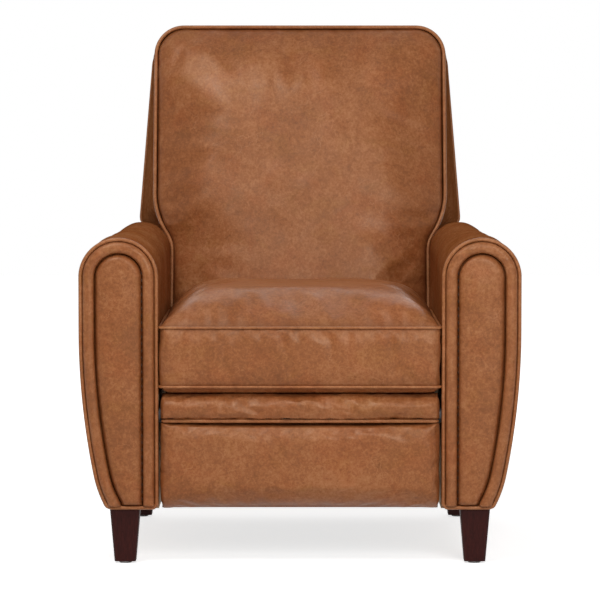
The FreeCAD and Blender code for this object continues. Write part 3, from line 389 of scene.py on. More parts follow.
def run(points, count):
    """Polyline resampled at even steps of its length."""
    points = np.asarray(points, float)
    steps = np.linalg.norm(np.diff(points, axis=0), axis=1)
    along = np.concatenate([[0.0], np.cumsum(steps)])
    wanted = np.linspace(0.0, along[-1], count)
    return np.stack([np.interp(wanted, along, points[:, k]) for k in range(points.shape[1])], axis=1)


def cord_tube(path, radius, closed, sides=12):
    """Round cord along a path, as a shape: rings of points square to the path, closed or with round ends."""
    path = np.asarray(path, float)
    ahead = np.roll(path, -1, axis=0) - np.roll(path, 1, axis=0)
    if not closed:
        ahead[0] = path[1] - path[0]
        ahead[-1] = path[-1] - path[-2]
    ahead /= np.linalg.norm(ahead, axis=1)[:, None]
    guide = np.array([0.13, -0.97, 0.21])
    side = np.cross(ahead, guide)
    side /= np.linalg.norm(side, axis=1)[:, None]
    up = np.cross(side, ahead)
    angle = np.linspace(0, 2 * np.pi, sides, endpoint=False)[None, :, None]
    size = np.full(len(path), radius)
    if not closed:
        from_end = np.minimum(np.arange(len(path)), np.arange(len(path))[::-1])
        size = radius * shoulder(from_end, 3.0)
    rings = path[:, None] + size[:, None, None] * (np.cos(angle) * side[:, None] + np.sin(angle) * up[:, None])
    if closed:
        rings = np.concatenate([rings, rings[:1]])
    return rings.reshape(-1, 3), quads_of(len(rings), sides, wrap=True)


# Arms: a timber frame wrapped in foam and leather, level on top, round over a half circle, with a
# flared outer side that tucks in at the foot. The front has a corded welt, a padded roll inside it,
# a sewn groove and a pillowed panel with a row of stitches on its inner edge.
ARM_IN, ARM_OUT = 0.2605, 0.4065
ARM_MIDDLE, ARM_HALF = (ARM_IN + ARM_OUT) / 2, (ARM_OUT - ARM_IN) / 2
ARM_SPRING, ARM_FOOT = 0.530, 0.102
ARM_FLARE, ARM_TUCK, ARM_FLARE_TOP = 1.330, 0.215, 0.430
ARM_SWEEP = math.radians(11.5)
ARM_NOSE, ARM_TAIL = -0.408, 0.340
ARM_ROLLOFF, ARM_END_ROUND = 0.218, 0.014
ARM_NARROWING, ARM_RISE = 0.050, 0.008
ARM_SEAM, ARM_SEAM_LOW = 0.052, 0.36
ARM_BESIDE_BACK = 0.095
ARM_CORE = np.array([ARM_MIDDLE, 0, 0.42])
FACING_LIFT, FACING_EDGE = 0.0065, 0.0305
FACING_FOOT = ARM_FOOT + FACING_LIFT


def arm_edge(inset, count, back=0.0, rise=None):
    """Arm outline drawn in by inset, as (x, z): up the inside, over the half circle, down the
    flared side on a long then a short arc, and back along the foot. Towards the rear, back going
    from 0 to 1, the half circle gets smaller and higher and the side draws in with its height."""
    half = (ARM_OUT - ARM_IN - ARM_NARROWING * back) / 2
    middle = ARM_IN + half
    radius = half - inset
    spring = ARM_SPRING + ARM_HALF + ARM_RISE * back - half
    foot = ARM_FOOT + (inset if rise is None else rise)
    flare_x = ARM_OUT - ARM_FLARE
    tuck_x = flare_x + (ARM_FLARE - ARM_TUCK) * math.cos(ARM_SWEEP)
    tuck_z = ARM_FLARE_TOP - (ARM_FLARE - ARM_TUCK) * math.sin(ARM_SWEEP)
    long, short = ARM_FLARE - inset, ARM_TUCK - inset
    end = math.asin((tuck_z - foot) / short)
    over = np.linspace(math.pi, 0, 80)
    flare = np.linspace(0, ARM_SWEEP, 40)
    tuck = np.linspace(ARM_SWEEP, end, 40)
    soft = 0.006

    def drawn_in(x, z):
        height = (z - ARM_FOOT) / (ARM_FLARE_TOP - ARM_FOOT)
        return np.stack([x - ARM_NARROWING * back * height, z], axis=1)

    spots = np.concatenate([
        [[ARM_IN + inset, foot + soft]],
        np.stack([middle + radius * np.cos(over), spring + radius * np.sin(over)], axis=1),
        drawn_in(flare_x + long * np.cos(flare), ARM_FLARE_TOP - long * np.sin(flare)),
        drawn_in(tuck_x + short * np.cos(tuck), tuck_z - short * np.sin(tuck))[:-2],
        [[tuck_x + short * math.cos(end) - soft, foot]],
        [[ARM_IN + inset + soft, foot]],
        [[ARM_IN + inset, foot + soft]],
    ])
    return run(spots, count + 1)[:-1]


def arm_body(side):
    """Arm wrap: the outline carried from front to rear as it narrows; behind, heights above the tail's
    top shrink along a quarter round, and the end turns in on a small round. Soft waves make it padded,
    and a sewn seam crosses it in front of the back."""
    count = 240
    turn = ARM_TAIL - ARM_END_ROUND
    y = np.concatenate([[ARM_NOSE, ARM_NOSE], np.linspace(ARM_NOSE + 0.002, ARM_SEAM - 0.010, 62),
                        np.linspace(ARM_SEAM - 0.008, ARM_SEAM + 0.008, 17),
                        np.linspace(ARM_SEAM + 0.010, turn, 44),
                        ARM_TAIL - ARM_END_ROUND * (1 - np.sin(np.linspace(0.25, 1, 6) * np.pi / 2))])
    ends = up_to(y - turn, ARM_END_ROUND)
    inset = ARM_END_ROUND * (1 - np.sqrt(1 - ends ** 2)) + 0.0004
    back = (y - ARM_NOSE) / (ARM_TAIL - ARM_NOSE)
    grid = np.stack([arm_edge(k, count, b) for k, b in zip(inset, back)])
    start = ARM_TAIL - ARM_ROLLOFF
    peak = ARM_SPRING + ARM_HALF + ARM_RISE * back
    base = np.interp(start, y, peak) - ARM_ROLLOFF
    fall = np.sqrt(ARM_ROLLOFF ** 2 - np.clip(y - start, 0, ARM_ROLLOFF - 0.004) ** 2)
    keep = np.minimum(fall / (peak - base), 1.0)
    z = grid[..., 1]
    z = np.where(z > base, base + (z - base) * keep[:, None], z)
    points = np.stack([grid[..., 0], np.repeat(y[:, None], count, axis=1), z], axis=-1)
    x, y, z = np.moveaxis(points, -1, 0)
    away = points - ARM_CORE
    away[..., 1] = 0
    away /= np.linalg.norm(away, axis=-1)[..., None]
    run_in = up_to(y - ARM_NOSE, 0.05) * up_to(ARM_TAIL - y, 0.05)
    swell = 0.0009 * waves(points, 0.16, 11) + 0.0004 * waves(points, 0.05, 12)
    gathers = 0.0008 * np.exp(-(y - ARM_NOSE) / 0.018) * waves(points * [1, 0.1, 1], 0.02, 13)
    inner_top = up_to(0.36 - x, 0.06) * up_to(z - ARM_SEAM_LOW, 0.08)
    swell += 0.0036 * np.exp(-((y - ARM_BESIDE_BACK) / 0.055) ** 2) * inner_top
    swell -= 0.0016 * np.exp(-((y - ARM_SEAM) / 0.0022) ** 2) * up_to(z - ARM_SEAM_LOW, 0.03)
    points += away * (swell * run_in + gathers * up_to(y - ARM_NOSE, 0.006))[..., None]
    seam_and_shade = np.maximum(np.exp(-np.abs(y - ARM_NOSE) / 0.012),
                      np.exp(-((y - ARM_SEAM) / 0.003) ** 2) * (z > ARM_SEAM_LOW + 0.01))
    nose = points[0].mean(axis=0)
    tail = points[-1].mean(axis=0)
    points[0] = nose
    points = np.concatenate([points, np.repeat(tail[None, None], count, axis=1)])
    seam_and_shade = np.concatenate([seam_and_shade, seam_and_shade[-1:]])
    points[..., 0] *= side
    return points, quads_of(len(points), count, wrap=True), seam_and_shade


def arm_arch(inset, count):
    """The outline without its foot: up the inside, over the top and down the flared side, with both
    ends at the foot of the facing."""
    loop = arm_edge(inset, 1200, rise=FACING_FOOT - ARM_FOOT)
    loop = loop[loop[:, 1] > FACING_FOOT + FACING_LIFT]
    loop = np.roll(loop, -int(np.argmin(loop[:, 0] + loop[:, 1])), axis=0)
    first, last = loop[0, 0], loop[-1, 0] - 0.0015
    return run(np.concatenate([[[first, FACING_FOOT]], loop, [[last, FACING_FOOT]]]), count)


def facing_roll(side):
    """Padded roll: half an oval, 21.5 mm across and 13.5 mm high, carried up, over and down the arm
    front, with closed ends."""
    phase = np.linspace(0, np.pi, 15)
    inset = 0.0072 + 0.0215 * (0.5 - 0.5 * np.cos(phase))
    rise = 0.0135 * np.sin(phase) ** 0.55
    grid = np.stack([arm_arch(k, 260) for k in inset])
    depth = np.broadcast_to((ARM_NOSE - rise)[:, None], grid.shape[:2])
    points = np.stack([grid[..., 0], depth, grid[..., 1]], axis=-1)
    pucker = 0.0004 * waves(points * [1, 0.2, 1], 0.016, 21) + 0.0006 * waves(points, 0.07, 22)
    points[..., 1] -= pucker * np.sin(phase)[:, None]
    seam_and_shade = np.broadcast_to((1 - np.sin(phase))[:, None] ** 2.5, grid.shape[:2]).copy()
    points = np.concatenate([points, points[:1]])
    seam_and_shade = np.concatenate([seam_and_shade, seam_and_shade[:1]])
    points = np.swapaxes(points, 0, 1)
    seam_and_shade = np.swapaxes(seam_and_shade, 0, 1)
    ends = [np.repeat(points[k].mean(axis=0)[None, None], points.shape[1], axis=1) for k in (0, -1)]
    points = np.concatenate([ends[0], points, ends[1]])
    seam_and_shade = np.concatenate([seam_and_shade[:1], seam_and_shade, seam_and_shade[-1:]])
    points[..., 0] *= side
    return points, quads_of(len(points), points.shape[1]), seam_and_shade


def facing_panel(side):
    """Pillowed panel: rows across the outline drawn in by 30.5 mm, down to the foot, raised by a round
    shoulder of the distance to its edge; the flat back closes it."""
    rows, columns = 120, 40
    edge = arm_arch(FACING_EDGE, 900)
    apex = edge[:, 1].argmax()
    inner, outer = edge[:apex + 1], edge[apex:][::-1]
    share = np.linspace(0, 1, rows)
    share = np.where(share > 0.75, 0.75 + 0.25 * np.sin((share - 0.75) * 2 * np.pi), share)
    z = FACING_FOOT + (edge[apex, 1] - 1e-5 - FACING_FOOT) * share
    left = np.interp(z, inner[:, 1], inner[:, 0])[:, None]
    right = np.interp(z, outer[:, 1], outer[:, 0])[:, None]
    x = left + (right - left) * (0.5 - 0.5 * np.cos(np.linspace(0, np.pi, columns)))
    z = np.repeat(z[:, None], columns, axis=1)
    spots = np.stack([x, np.zeros_like(x), z], axis=-1)
    reach = np.minimum(x - left, right - x)
    arch = ARM_HALF - FACING_EDGE - np.hypot(x - ARM_MIDDLE, z - ARM_SPRING)
    reach = np.clip(np.where(z > ARM_SPRING, np.minimum(reach, arch), reach), 0, None)
    to_foot = up_to(z - FACING_FOOT, 0.006)
    rise = (0.0118 * shoulder(reach, 0.011) + 0.0030 * up_to(reach, 0.034)) * to_foot ** 0.5
    rise += 0.0006 * waves(spots, 0.06, 31) * up_to(reach, 0.02) * to_foot
    front = np.stack([x, ARM_NOSE - rise, z], axis=-1)
    back = np.stack([x, np.full_like(x, ARM_NOSE), z], axis=-1)
    # Painted shade: the panel darkens in a band in from its edge by the groove, besides the dark joint at the
    # edge.
    points, quads, seam_and_shade = two_sheets(front, back, darkening(reach, 0.0035, 0.30, 0.016))
    points[:, 0] *= side
    return points, quads, seam_and_shade


def stitch_row(side):
    """Row of thread stitches: small stretched beads, one every 13 mm along the panel's inner edge."""
    bands, around = 5, 6
    thick, long = 0.0011, 0.0031
    z = np.arange(0.122, 0.545, 0.0130)
    theta = np.linspace(0, np.pi, bands)
    phi = np.linspace(0, 2 * np.pi, around, endpoint=False)
    bead = np.stack([np.outer(np.sin(theta), np.cos(phi)) * thick, np.outer(np.sin(theta), np.sin(phi)) * thick,
                     np.repeat(np.cos(theta)[:, None], around, axis=1) * long], axis=-1)
    middle = np.stack([np.full_like(z, ARM_IN + 0.0302), np.full_like(z, ARM_NOSE - 0.0040), z], axis=1)
    points = middle[:, None, None] + bead[None]
    points[..., 0] *= side
    quads = quads_of(bands, around, wrap=True)
    return points.reshape(-1, 3), np.concatenate([quads + bands * around * k for k in range(len(z))])


THREAD, _, thread_shader = flecked("stitch_thread", 900.0, (0.030, 0.010, 0.004), (0.065, 0.024, 0.010))
thread_shader.inputs["Roughness"].default_value = 0.7

for side, hand in ((1, "right"), (-1, "left")):
    wrap = piece("arm_wrap_" + hand, arm_body(side), SIDE_COGNAC, "base")
    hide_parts("arm_pad_" + hand)
    roll = piece("arm_facing_roll_" + hand, facing_roll(side), COGNAC, "base")
    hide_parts("arm_roll_" + hand)
    panel = piece("arm_facing_panel_" + hand, facing_panel(side), COGNAC, "base")
    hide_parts("arm_panel_" + hand)
    edge = arm_edge(0.0034, 420)
    cord_path = np.stack([edge[:, 0] * side, np.full(len(edge), ARM_NOSE - 0.0032), edge[:, 1]], axis=1)
    cord = piece("arm_cord_" + hand, cord_tube(cord_path, 0.0036, True), WELT_COGNAC, "base")
    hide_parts("arm_welt_" + hand)
    piece("arm_stitches_" + hand, stitch_row(side), THREAD, "base")

# Seat cushion: one loose box cushion of foam in a leather case. A top panel crowned by the filling,
# a boxing strip that bulges between two corded welts, and a plain underside.


def filled(name, points, quads, held, low, high, press=4.0, slack=0.02, cap=0.022, steps=20):
    """Case blown up by its filling: cloth with inner pressure and some slack, gravity off, its seam
    points held; each point's move is capped and the result kept inside a box. Gives new points."""
    points = np.asarray(points, float).reshape(-1, 3)
    _, first, twin = np.unique(np.round(points / 4e-5).astype(int), axis=0, return_index=True,
                               return_inverse=True)
    twin = twin.ravel()
    faces = [list(dict.fromkeys(face)) for face in twin[np.asarray(quads)].tolist()]
    work = bmesh.new()
    corners = [work.verts.new(spot) for spot in points[first].tolist()]
    for face in faces:
        if len(face) > 2:
            work.faces.new([corners[k] for k in face])
    bmesh.ops.recalc_face_normals(work, faces=work.faces)
    mesh = bpy.data.meshes.new(name)
    work.to_mesh(mesh)
    work.free()
    form = bpy.data.objects.new(name, mesh)
    bpy.context.scene.collection.objects.link(form)
    pins = form.vertex_groups.new(name="held")
    fixed = np.zeros(len(first), bool)
    fixed[twin[np.flatnonzero(held)]] = True
    pins.add(np.flatnonzero(fixed).tolist(), 1.0, "REPLACE")
    cloth = form.modifiers.new("Fill", "CLOTH")
    cloth.point_cache.frame_start = 1
    cloth.point_cache.frame_end = steps
    cloth.collision_settings.use_collision = False
    skin = cloth.settings
    skin.vertex_group_mass = "held"
    skin.quality = 6
    skin.mass = 0.4
    skin.tension_stiffness = skin.compression_stiffness = 22.0
    skin.shear_stiffness = 8.0
    skin.bending_stiffness = 2.0
    skin.use_pressure = True
    skin.uniform_pressure_force = press
    skin.shrink_min = -slack
    skin.effector_weights.gravity = 0.0
    for step in range(1, steps + 1):
        bpy.context.scene.frame_set(step)
    made = form.evaluated_get(bpy.context.evaluated_depsgraph_get()).data
    swollen = np.empty(len(first) * 3, np.float32)
    made.vertices.foreach_get("co", swollen)
    swollen = swollen.reshape(-1, 3)[twin]
    bpy.context.scene.frame_set(1)
    bpy.data.objects.remove(form)
    bpy.data.meshes.remove(mesh)
    move = swollen - points
    far = np.linalg.norm(move, axis=1)[:, None]
    move *= cap * np.tanh(far / cap) / np.maximum(far, 1e-9)
    return np.clip(points + move, low, high)


def rounded_loop(half, front, rear, corner, count):
    """Plan outline with round corners, as (x, y), from the front middle anticlockwise."""
    quarter = np.linspace(-np.pi / 2, 0, 24)
    spots = [[0.0, front]]
    for cx, cy, turn in ((half - corner, front + corner, 0), (half - corner, rear - corner, 1),
                         (-half + corner, rear - corner, 2), (-half + corner, front + corner, 3)):
        angle = quarter + turn * np.pi / 2
        spots.extend(np.stack([cx + corner * np.cos(angle), cy + corner * np.sin(angle)], axis=1).tolist())
    spots.append([0.0, front])
    return run(spots, count + 1)[:-1]


def disc_grid(loop, centre, rings):
    """Square rings fitted to a loop: ring k of 8k points is the loop drawn k/rings of the way out from
    the centre. Gives points, quads and the indices of the outer ring."""
    n = rings
    i, j = np.meshgrid(np.arange(-n, n + 1), np.arange(-n, n + 1), indexing="ij")
    ring = np.maximum(np.abs(i), np.abs(j))
    safe = np.maximum(ring, 1)
    a, b = i / safe, j / safe
    around = np.where((b == -1) & (a < 1), a + 1,
                      np.where((a == 1) & (b < 1), 3 + b, np.where((b == 1) & (a > -1), 5 - a, 7 - b)))
    share = ((around - 1) / 8.0) % 1.0
    closed = np.concatenate([loop, loop[:1]])
    place_on = share * len(loop)
    axes = range(closed.shape[1])
    outer = np.stack([np.interp(place_on, np.arange(len(closed)), closed[:, k]) for k in axes], axis=-1)
    points = centre + (ring / n)[..., None] * (outer - centre)
    rim = np.flatnonzero(ring.ravel() == n)
    rim = rim[np.argsort(share.ravel()[rim])]
    return points.reshape(-1, closed.shape[1]), quads_of(2 * n + 1, 2 * n + 1), rim


SEAT_HALF, SEAT_FRONT, SEAT_REAR = 0.2575, -0.4165, 0.0655
SEAT_LOW, SEAT_HIGH = 0.329, 0.438
SEAT_UNDER, SEAT_CROWN = 0.3172, 0.492
SEAT_ROOM = 0.2592


def edge_reach(x, y, half, front, rear):
    """Distance from a point of a panel to the nearest side of its rectangle."""
    return np.clip(np.minimum.reduce([half - np.abs(x), y - front, rear - y]), 0, None)


def seat_case():
    """Box cushion: square rings whose top is a crown times a quarter round in from the sides, the front
    and the rear, and a flat underside, joined by a boxing strip that bulges out by a half sine.
    Ripples run in from the welts and die out over a few centimetres."""
    rings, rows = 34, 14
    loop = rounded_loop(SEAT_HALF, SEAT_FRONT, SEAT_REAR, 0.010, 8 * rings)
    centre = np.array([0.0, (SEAT_FRONT + SEAT_REAR) / 2])
    flat, quads, rim = disc_grid(loop, centre, rings)
    x, y = flat[:, 0], flat[:, 1]
    reach = edge_reach(x, y, SEAT_HALF, SEAT_FRONT, SEAT_REAR)
    crown = (shoulder(SEAT_HALF - np.abs(x), 0.095) * shoulder(y - SEAT_FRONT, 0.13)
             * shoulder(SEAT_REAR - y, 0.10))
    middle = np.clip(1 - (x / SEAT_HALF) ** 2, 0, 1)
    spot = np.column_stack([flat, np.zeros(len(flat))])
    top_z = SEAT_HIGH + (SEAT_CROWN - SEAT_HIGH) * crown * (0.86 + 0.14 * middle)
    top_z += up_to(reach, 0.02) * (0.0022 * waves(spot, 0.20, 41) + 0.0008 * waves(spot, 0.06, 42))
    top_z += 0.0011 * np.exp(-reach / 0.025) * up_to(reach, 0.006) * waves(spot, 0.022, 43)
    low_z = SEAT_LOW + (SEAT_UNDER - SEAT_LOW) * shoulder(reach, 0.014)
    top = np.column_stack([flat, top_z])
    under = np.column_stack([flat, low_z])
    ring = flat[rim]
    outward = np.roll(ring, -1, axis=0) - np.roll(ring, 1, axis=0)
    outward = np.stack([outward[:, 1], -outward[:, 0]], axis=1)
    outward /= np.linalg.norm(outward, axis=1)[:, None]
    rise = np.linspace(0, 1, rows)
    level = np.repeat((SEAT_LOW + (SEAT_HIGH - SEAT_LOW) * rise)[:, None, None], len(ring), axis=1)
    strip = np.concatenate([np.repeat(ring[None], rows, axis=0), level], axis=2)
    belly = np.sin(np.pi * rise)[:, None]
    bulge = 0.0062 * belly ** 0.7 + 0.0008 * belly * waves(strip, 0.05, 44)
    bulge *= 0.12 + 0.88 * np.abs(outward[:, 1])
    strip[..., :2] += outward[None] * bulge[..., None]
    to_welt = np.minimum(rise, 1 - rise) * (SEAT_HIGH - SEAT_LOW)
    to_arm = np.clip(SEAT_HALF - np.abs(ring[:, 0]), 0, None)
    # Painted shade: the boxing darkens beside the arms and in a band near each welt, besides the dark joint at
    # the welts.
    strip_seam_and_shade = np.maximum(darkening(to_welt, 0.006, 0.25, 0.020)[:, None], 0.45 * np.exp(-to_arm / 0.018))
    points = np.concatenate([top, under, strip.reshape(-1, 3)])
    faces = np.concatenate([quads, quads[:, ::-1] + len(top),
                            quads_of(rows, len(ring), wrap=True) + 2 * len(top)])
    # Painted shade mixed with some edge patina: the top and underside darken at the welt and over a wider band
    # in from the edges.
    wear_and_shade = darkening(reach, 0.006, 0.30, 0.030)
    return points, faces, np.concatenate([wear_and_shade, wear_and_shade, strip_seam_and_shade.ravel()]), ring


case_points, case_quads, case_seam_and_shade, case_ring = seat_case()
case_held = (case_seam_and_shade > 0.999) | (case_points[:, 2] < SEAT_LOW - 0.002)
case_points = filled("seat_filling", case_points, case_quads, case_held, (-SEAT_ROOM, -0.424, SEAT_UNDER),
                     (SEAT_ROOM, 0.085, 0.507), press=5.0, slack=0.03)
seat_case_piece = piece("seat_case", (case_points, case_quads, case_seam_and_shade), COGNAC, "seat",
                        levels=1)
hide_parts("seat_cushion")
cord_line = case_ring * (1 + 0.0016 / np.abs(case_ring).max())
for label, level in (("upper", SEAT_HIGH), ("lower", SEAT_LOW)):
    seam_path = np.column_stack([cord_line, np.full(len(cord_line), level)])
    piece("seat_cord_" + label, cord_tube(seam_path, 0.0026, True), WELT_COGNAC, "seat")

# Back: a T-shaped padded front panel whose wings pass over the arms, a boxing strip behind its corded
# welt, and an outside back panel. It leans and is hinged low down on the seat's steel plates.
LEAN = math.tan(math.radians(16.0))
BACK_TOP, BACK_FOOT, BACK_HIP = 1.000, 0.310, 0.345
BACK_CENTRE = np.array([0.0, 0.690])
PANEL_TOP = BACK_TOP - 0.0015
PANEL_OUTLINE = (0.2900, 0.2900, 0.144, PANEL_TOP, 0.056)
WELT_OUTLINE = (0.2912, 0.2912, 0.144, BACK_TOP, 0.056)
REAR_OUTLINE = (0.327, 0.3035, 0.015, 0.975, 0.056)
REAR_DROP, REAR_LAP = 0.014, 0.004


def leaning(z, start):
    """Depth at a height of a surface with the back's lean that passes through start at 470 mm."""
    return start + (z - 0.470) * LEAN


def rear_face(z):
    """Depth at a height of the outside back, which is steeper than the front."""
    return 0.300 + (z - BACK_FOOT) * (0.125 / 0.665)


def back_half(outline, drop=0.0):
    """Right half of a T outline as (x, z): foot, side up to the arm, hollow round the arm top, which
    may sit lower by drop, wing corner, side and round top corner. An outline is the half widths of the
    wing and the head, the round under the wing, the top's height and the round of its corner."""
    wing, head, bend, top, corner = outline
    hollow = 0.0600 - 0.25 * drop
    arm_x, arm_z = 0.3159, 0.5533 - drop
    foot_x = 0.212
    across = arm_x - (wing - bend)
    lift = math.sqrt((hollow + bend) ** 2 - across ** 2)
    lean = math.atan2(lift, -across)
    bay = np.linspace(math.pi, lean, 24)
    nose = np.linspace(lean - math.pi, 0, 24)
    turn = np.linspace(0, math.pi / 2, 24)
    return np.concatenate([
        [[0.0, BACK_FOOT], [foot_x, BACK_FOOT], [foot_x, BACK_HIP], [arm_x - hollow, BACK_HIP]],
        np.stack([arm_x + hollow * np.cos(bay), arm_z + hollow * np.sin(bay)], axis=1),
        np.stack([wing - bend + bend * np.cos(nose), arm_z + lift + bend * np.sin(nose)], axis=1),
        np.stack([head - corner + corner * np.cos(turn), top - corner + corner * np.sin(turn)], axis=1),
        [[0.0, top]],
    ])


def back_loop(outline, count, drop=0.0):
    """Whole T outline from the foot's middle anticlockwise, even steps."""
    half = back_half(outline, drop)
    other = half[::-1] * [-1, 1]
    return run(np.concatenate([half, other[1:]]), count + 1)[:-1]


def loop_reach(points, loop):
    """Distance from each plan point to the nearest point of a loop."""
    best = np.full(len(points), 9.0)
    for block in np.array_split(loop, 16):
        apart = points[:, None] - block[None]
        best = np.minimum(best, np.hypot(apart[..., 0], apart[..., 1]).min(axis=1))
    return best


def back_front():
    """Padded front panel: square rings inside the T outline, pushed forwards by the product of quarter
    rounds in from the sides, the top and the foot, plus a low crown, with ripples along the welt; a
    flat rear face and a strip close it."""
    rings = 40
    flat, quads, rim = disc_grid(back_loop(PANEL_OUTLINE, 8 * rings), BACK_CENTRE, rings)
    x, z = flat[:, 0], flat[:, 1]
    reach = loop_reach(flat, back_loop(PANEL_OUTLINE, 1600))
    reach[rim] = 0
    spot = np.column_stack([flat, np.zeros(len(flat))])
    side = back_half(PANEL_OUTLINE)[2:-1]
    width = np.interp(z, side[:, 1], side[:, 0])
    swell = (0.034 * shoulder(width - np.abs(x), 0.125) * shoulder(PANEL_TOP - z, 0.125)
             * shoulder(z - BACK_FOOT, 0.08))
    swell += 0.006 * np.clip(1 - (x / 0.29) ** 2, 0, 1) * np.clip(1 - ((z - 0.69) / 0.33) ** 2, 0, 1)
    swell += up_to(reach, 0.03) * (0.0030 * waves(spot, 0.24, 51) + 0.0009 * waves(spot, 0.07, 52))
    swell += 0.0011 * np.exp(-reach / 0.028) * up_to(reach, 0.006) * waves(spot, 0.022, 53)
    y = leaning(z, 0.120)
    front = np.column_stack([x, y - swell, z])
    rear = np.column_stack([x * 0.985, y + 0.060, z])
    points = np.concatenate([front, rear, front[rim], rear[rim]])
    faces = np.concatenate([quads, quads[:, ::-1] + len(front),
                            quads_of(2, len(rim), wrap=True) + 2 * len(front)])
    # Painted shade mixed with some edge patina: the panel darkens towards its foot above the seat cushion and
    # in a wide band along its edges, besides the dark joint at the welt.
    over_seat = np.clip(z - 0.455, 0, None)
    seam_and_shade = np.maximum(darkening(reach, 0.007, 0.42, 0.038), 0.55 * np.exp(-over_seat / 0.055))
    return points, faces, np.concatenate([seam_and_shade, seam_and_shade, np.ones(2 * len(rim))])


front_points, front_quads, front_seam_and_shade = back_front()
sewn = (front_seam_and_shade > 0.999) | (front_points[:, 1] > leaning(front_points[:, 2], 0.150))
front_points = filled("back_filling", front_points, front_quads, sewn, (-0.292, 0.02, BACK_FOOT),
                      (0.292, 0.5, BACK_TOP), press=1.8, slack=0.016, cap=0.020)
back_panel = piece("back_front", (front_points, front_quads, front_seam_and_shade), COGNAC, "back",
                   levels=1)
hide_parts("back_pad")


def back_case():
    """Boxing and outside back: straight lines from the front outline to the wider, lower rear outline,
    slightly bowed, then square rings across the rear panel. Gives its shape and the rear outline."""
    rings, rows = 44, 26
    count = 8 * rings
    front = back_loop(WELT_OUTLINE, count)
    rear = back_loop(REAR_OUTLINE, count, REAR_DROP)
    first = np.column_stack([front[:, 0], leaning(front[:, 1], 0.122), front[:, 1]])
    last = np.column_stack([rear[:, 0], rear_face(rear[:, 1]) - REAR_LAP, rear[:, 1]])
    share = np.linspace(0, 1, rows)
    strip = first[None] + (last - first)[None] * share[:, None, None]
    away = strip - np.array([0.0, 0.3, 0.70])
    away[..., 1] = 0
    away /= np.linalg.norm(away, axis=-1)[..., None]
    bow = np.where(strip[..., 2] > 0.625, 0.004, 0.0)
    belly = np.sin(np.pi * share)[:, None]
    strip += away * (bow * belly + 0.0008 * belly * waves(strip, 0.09, 61))[..., None]
    flat, quads, rim = disc_grid(rear, BACK_CENTRE, rings)
    reach = loop_reach(flat, rear)
    reach[rim] = 0
    spot = np.column_stack([flat, np.zeros(len(flat))])
    y = rear_face(flat[:, 1]) - REAR_LAP + REAR_LAP * up_to(reach, 0.02) ** 0.5
    y -= up_to(reach, 0.05) * (0.004 + 0.0012 * waves(spot, 0.2, 62))
    panel = np.column_stack([flat[:, 0], y, flat[:, 1]])
    strip_seam_and_shade = np.repeat(np.exp(-np.minimum(share, 1 - share) * 0.2 / 0.008)[:, None], count, axis=1)
    points = np.concatenate([strip.reshape(-1, 3), panel])
    faces = np.concatenate([quads_of(rows, count, wrap=True), quads + rows * count])
    return (points, faces, np.concatenate([strip_seam_and_shade.ravel(), np.exp(-reach / 0.008)])), last


boxing, rear_ring = back_case()
back_casing = piece("back_casing", boxing, SIDE_COGNAC, "back")
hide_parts("back_shell")
visible = back_loop(WELT_OUTLINE, 1200)
visible = visible[visible[:, 1] > 0.40]
back_cord_path = run(np.column_stack([visible[:, 0], leaning(visible[:, 1], 0.1195), visible[:, 1]]), 420)
back_cord = piece("back_cord", cord_tube(back_cord_path, 0.0037, False), WELT_COGNAC, "back")
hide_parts("back_welt")
piece("back_rear_cord", cord_tube(rear_ring, 0.0034, True), WELT_COGNAC, "back")

# Footrest: a plywood board padded in front, an upper band and a main panel with a corded welt between
# them. At rest it closes the chair front under the seat cushion.
FOOT_HALF, FOOT_REAR, FOOT_ROOM = 0.2550, -0.3845, 0.2596
FOOT_CORD_HALF, FOOT_CORD_STEPS = 0.2560, 160


def crowding(count, turn):
    """Steps from -1 to 1 that crowd together towards both ends, as a sine over part of its half turn."""
    return np.sin(np.linspace(-1, 1, count) * np.pi / 2 * turn) / math.sin(np.pi / 2 * turn)


def pad_panel(low, high, depth, bulge, under, over, seed):
    """Padded panel: a grid across and up, raised by round shoulders along its edges, tight at the ends
    and softer above and below, and by a crown between; in front it is a little wider than on the board.
    Ripples start at the edges, and the rear is flat on the board."""
    gx, gz = np.meshgrid(FOOT_HALF * crowding(110, 0.94), low + (high - low) * (0.5 + 0.5 * crowding(50, 0.92)))
    ends = np.clip(FOOT_HALF - np.abs(gx), 0, None)
    lift, drop = np.clip(gz - low, 0, None), np.clip(high - gz, 0, None)
    reach = np.minimum(ends, np.minimum(lift, drop))
    spot = np.stack([gx, 0 * gx, gz], axis=-1)
    rise = depth * shoulder(ends, 0.011) * shoulder(lift, under) * shoulder(drop, over)
    crown = np.clip(1 - ((gz - (low + high) / 2) / ((high - low) / 2)) ** 2, 0, 1)
    rise += bulge * crown * up_to(ends, 0.02)
    rise += up_to(reach, 0.02) * (0.0010 * waves(spot, 0.14, seed) + 0.0004 * waves(spot, 0.05, seed + 1))
    rise += 0.0009 * np.exp(-reach / 0.018) * up_to(reach, 0.005) * waves(spot, 0.020, seed + 2)
    wider = gx * (1 + 0.0042 / FOOT_HALF * up_to(rise - 0.012, 0.010))
    front = np.stack([wider, FOOT_REAR - rise, gz], axis=-1)
    back = np.stack([gx, np.full_like(gx, FOOT_REAR), gz], axis=-1)
    # Painted shade: the pad darkens in a band along its ends beside the arms and along its lower edge, besides
    # the dark joint at every edge.
    seam_and_shade = np.maximum(np.exp(-reach / 0.004), 0.32 * np.exp(-np.minimum(ends, lift) / 0.030))
    return two_sheets(front, back, seam_and_shade)


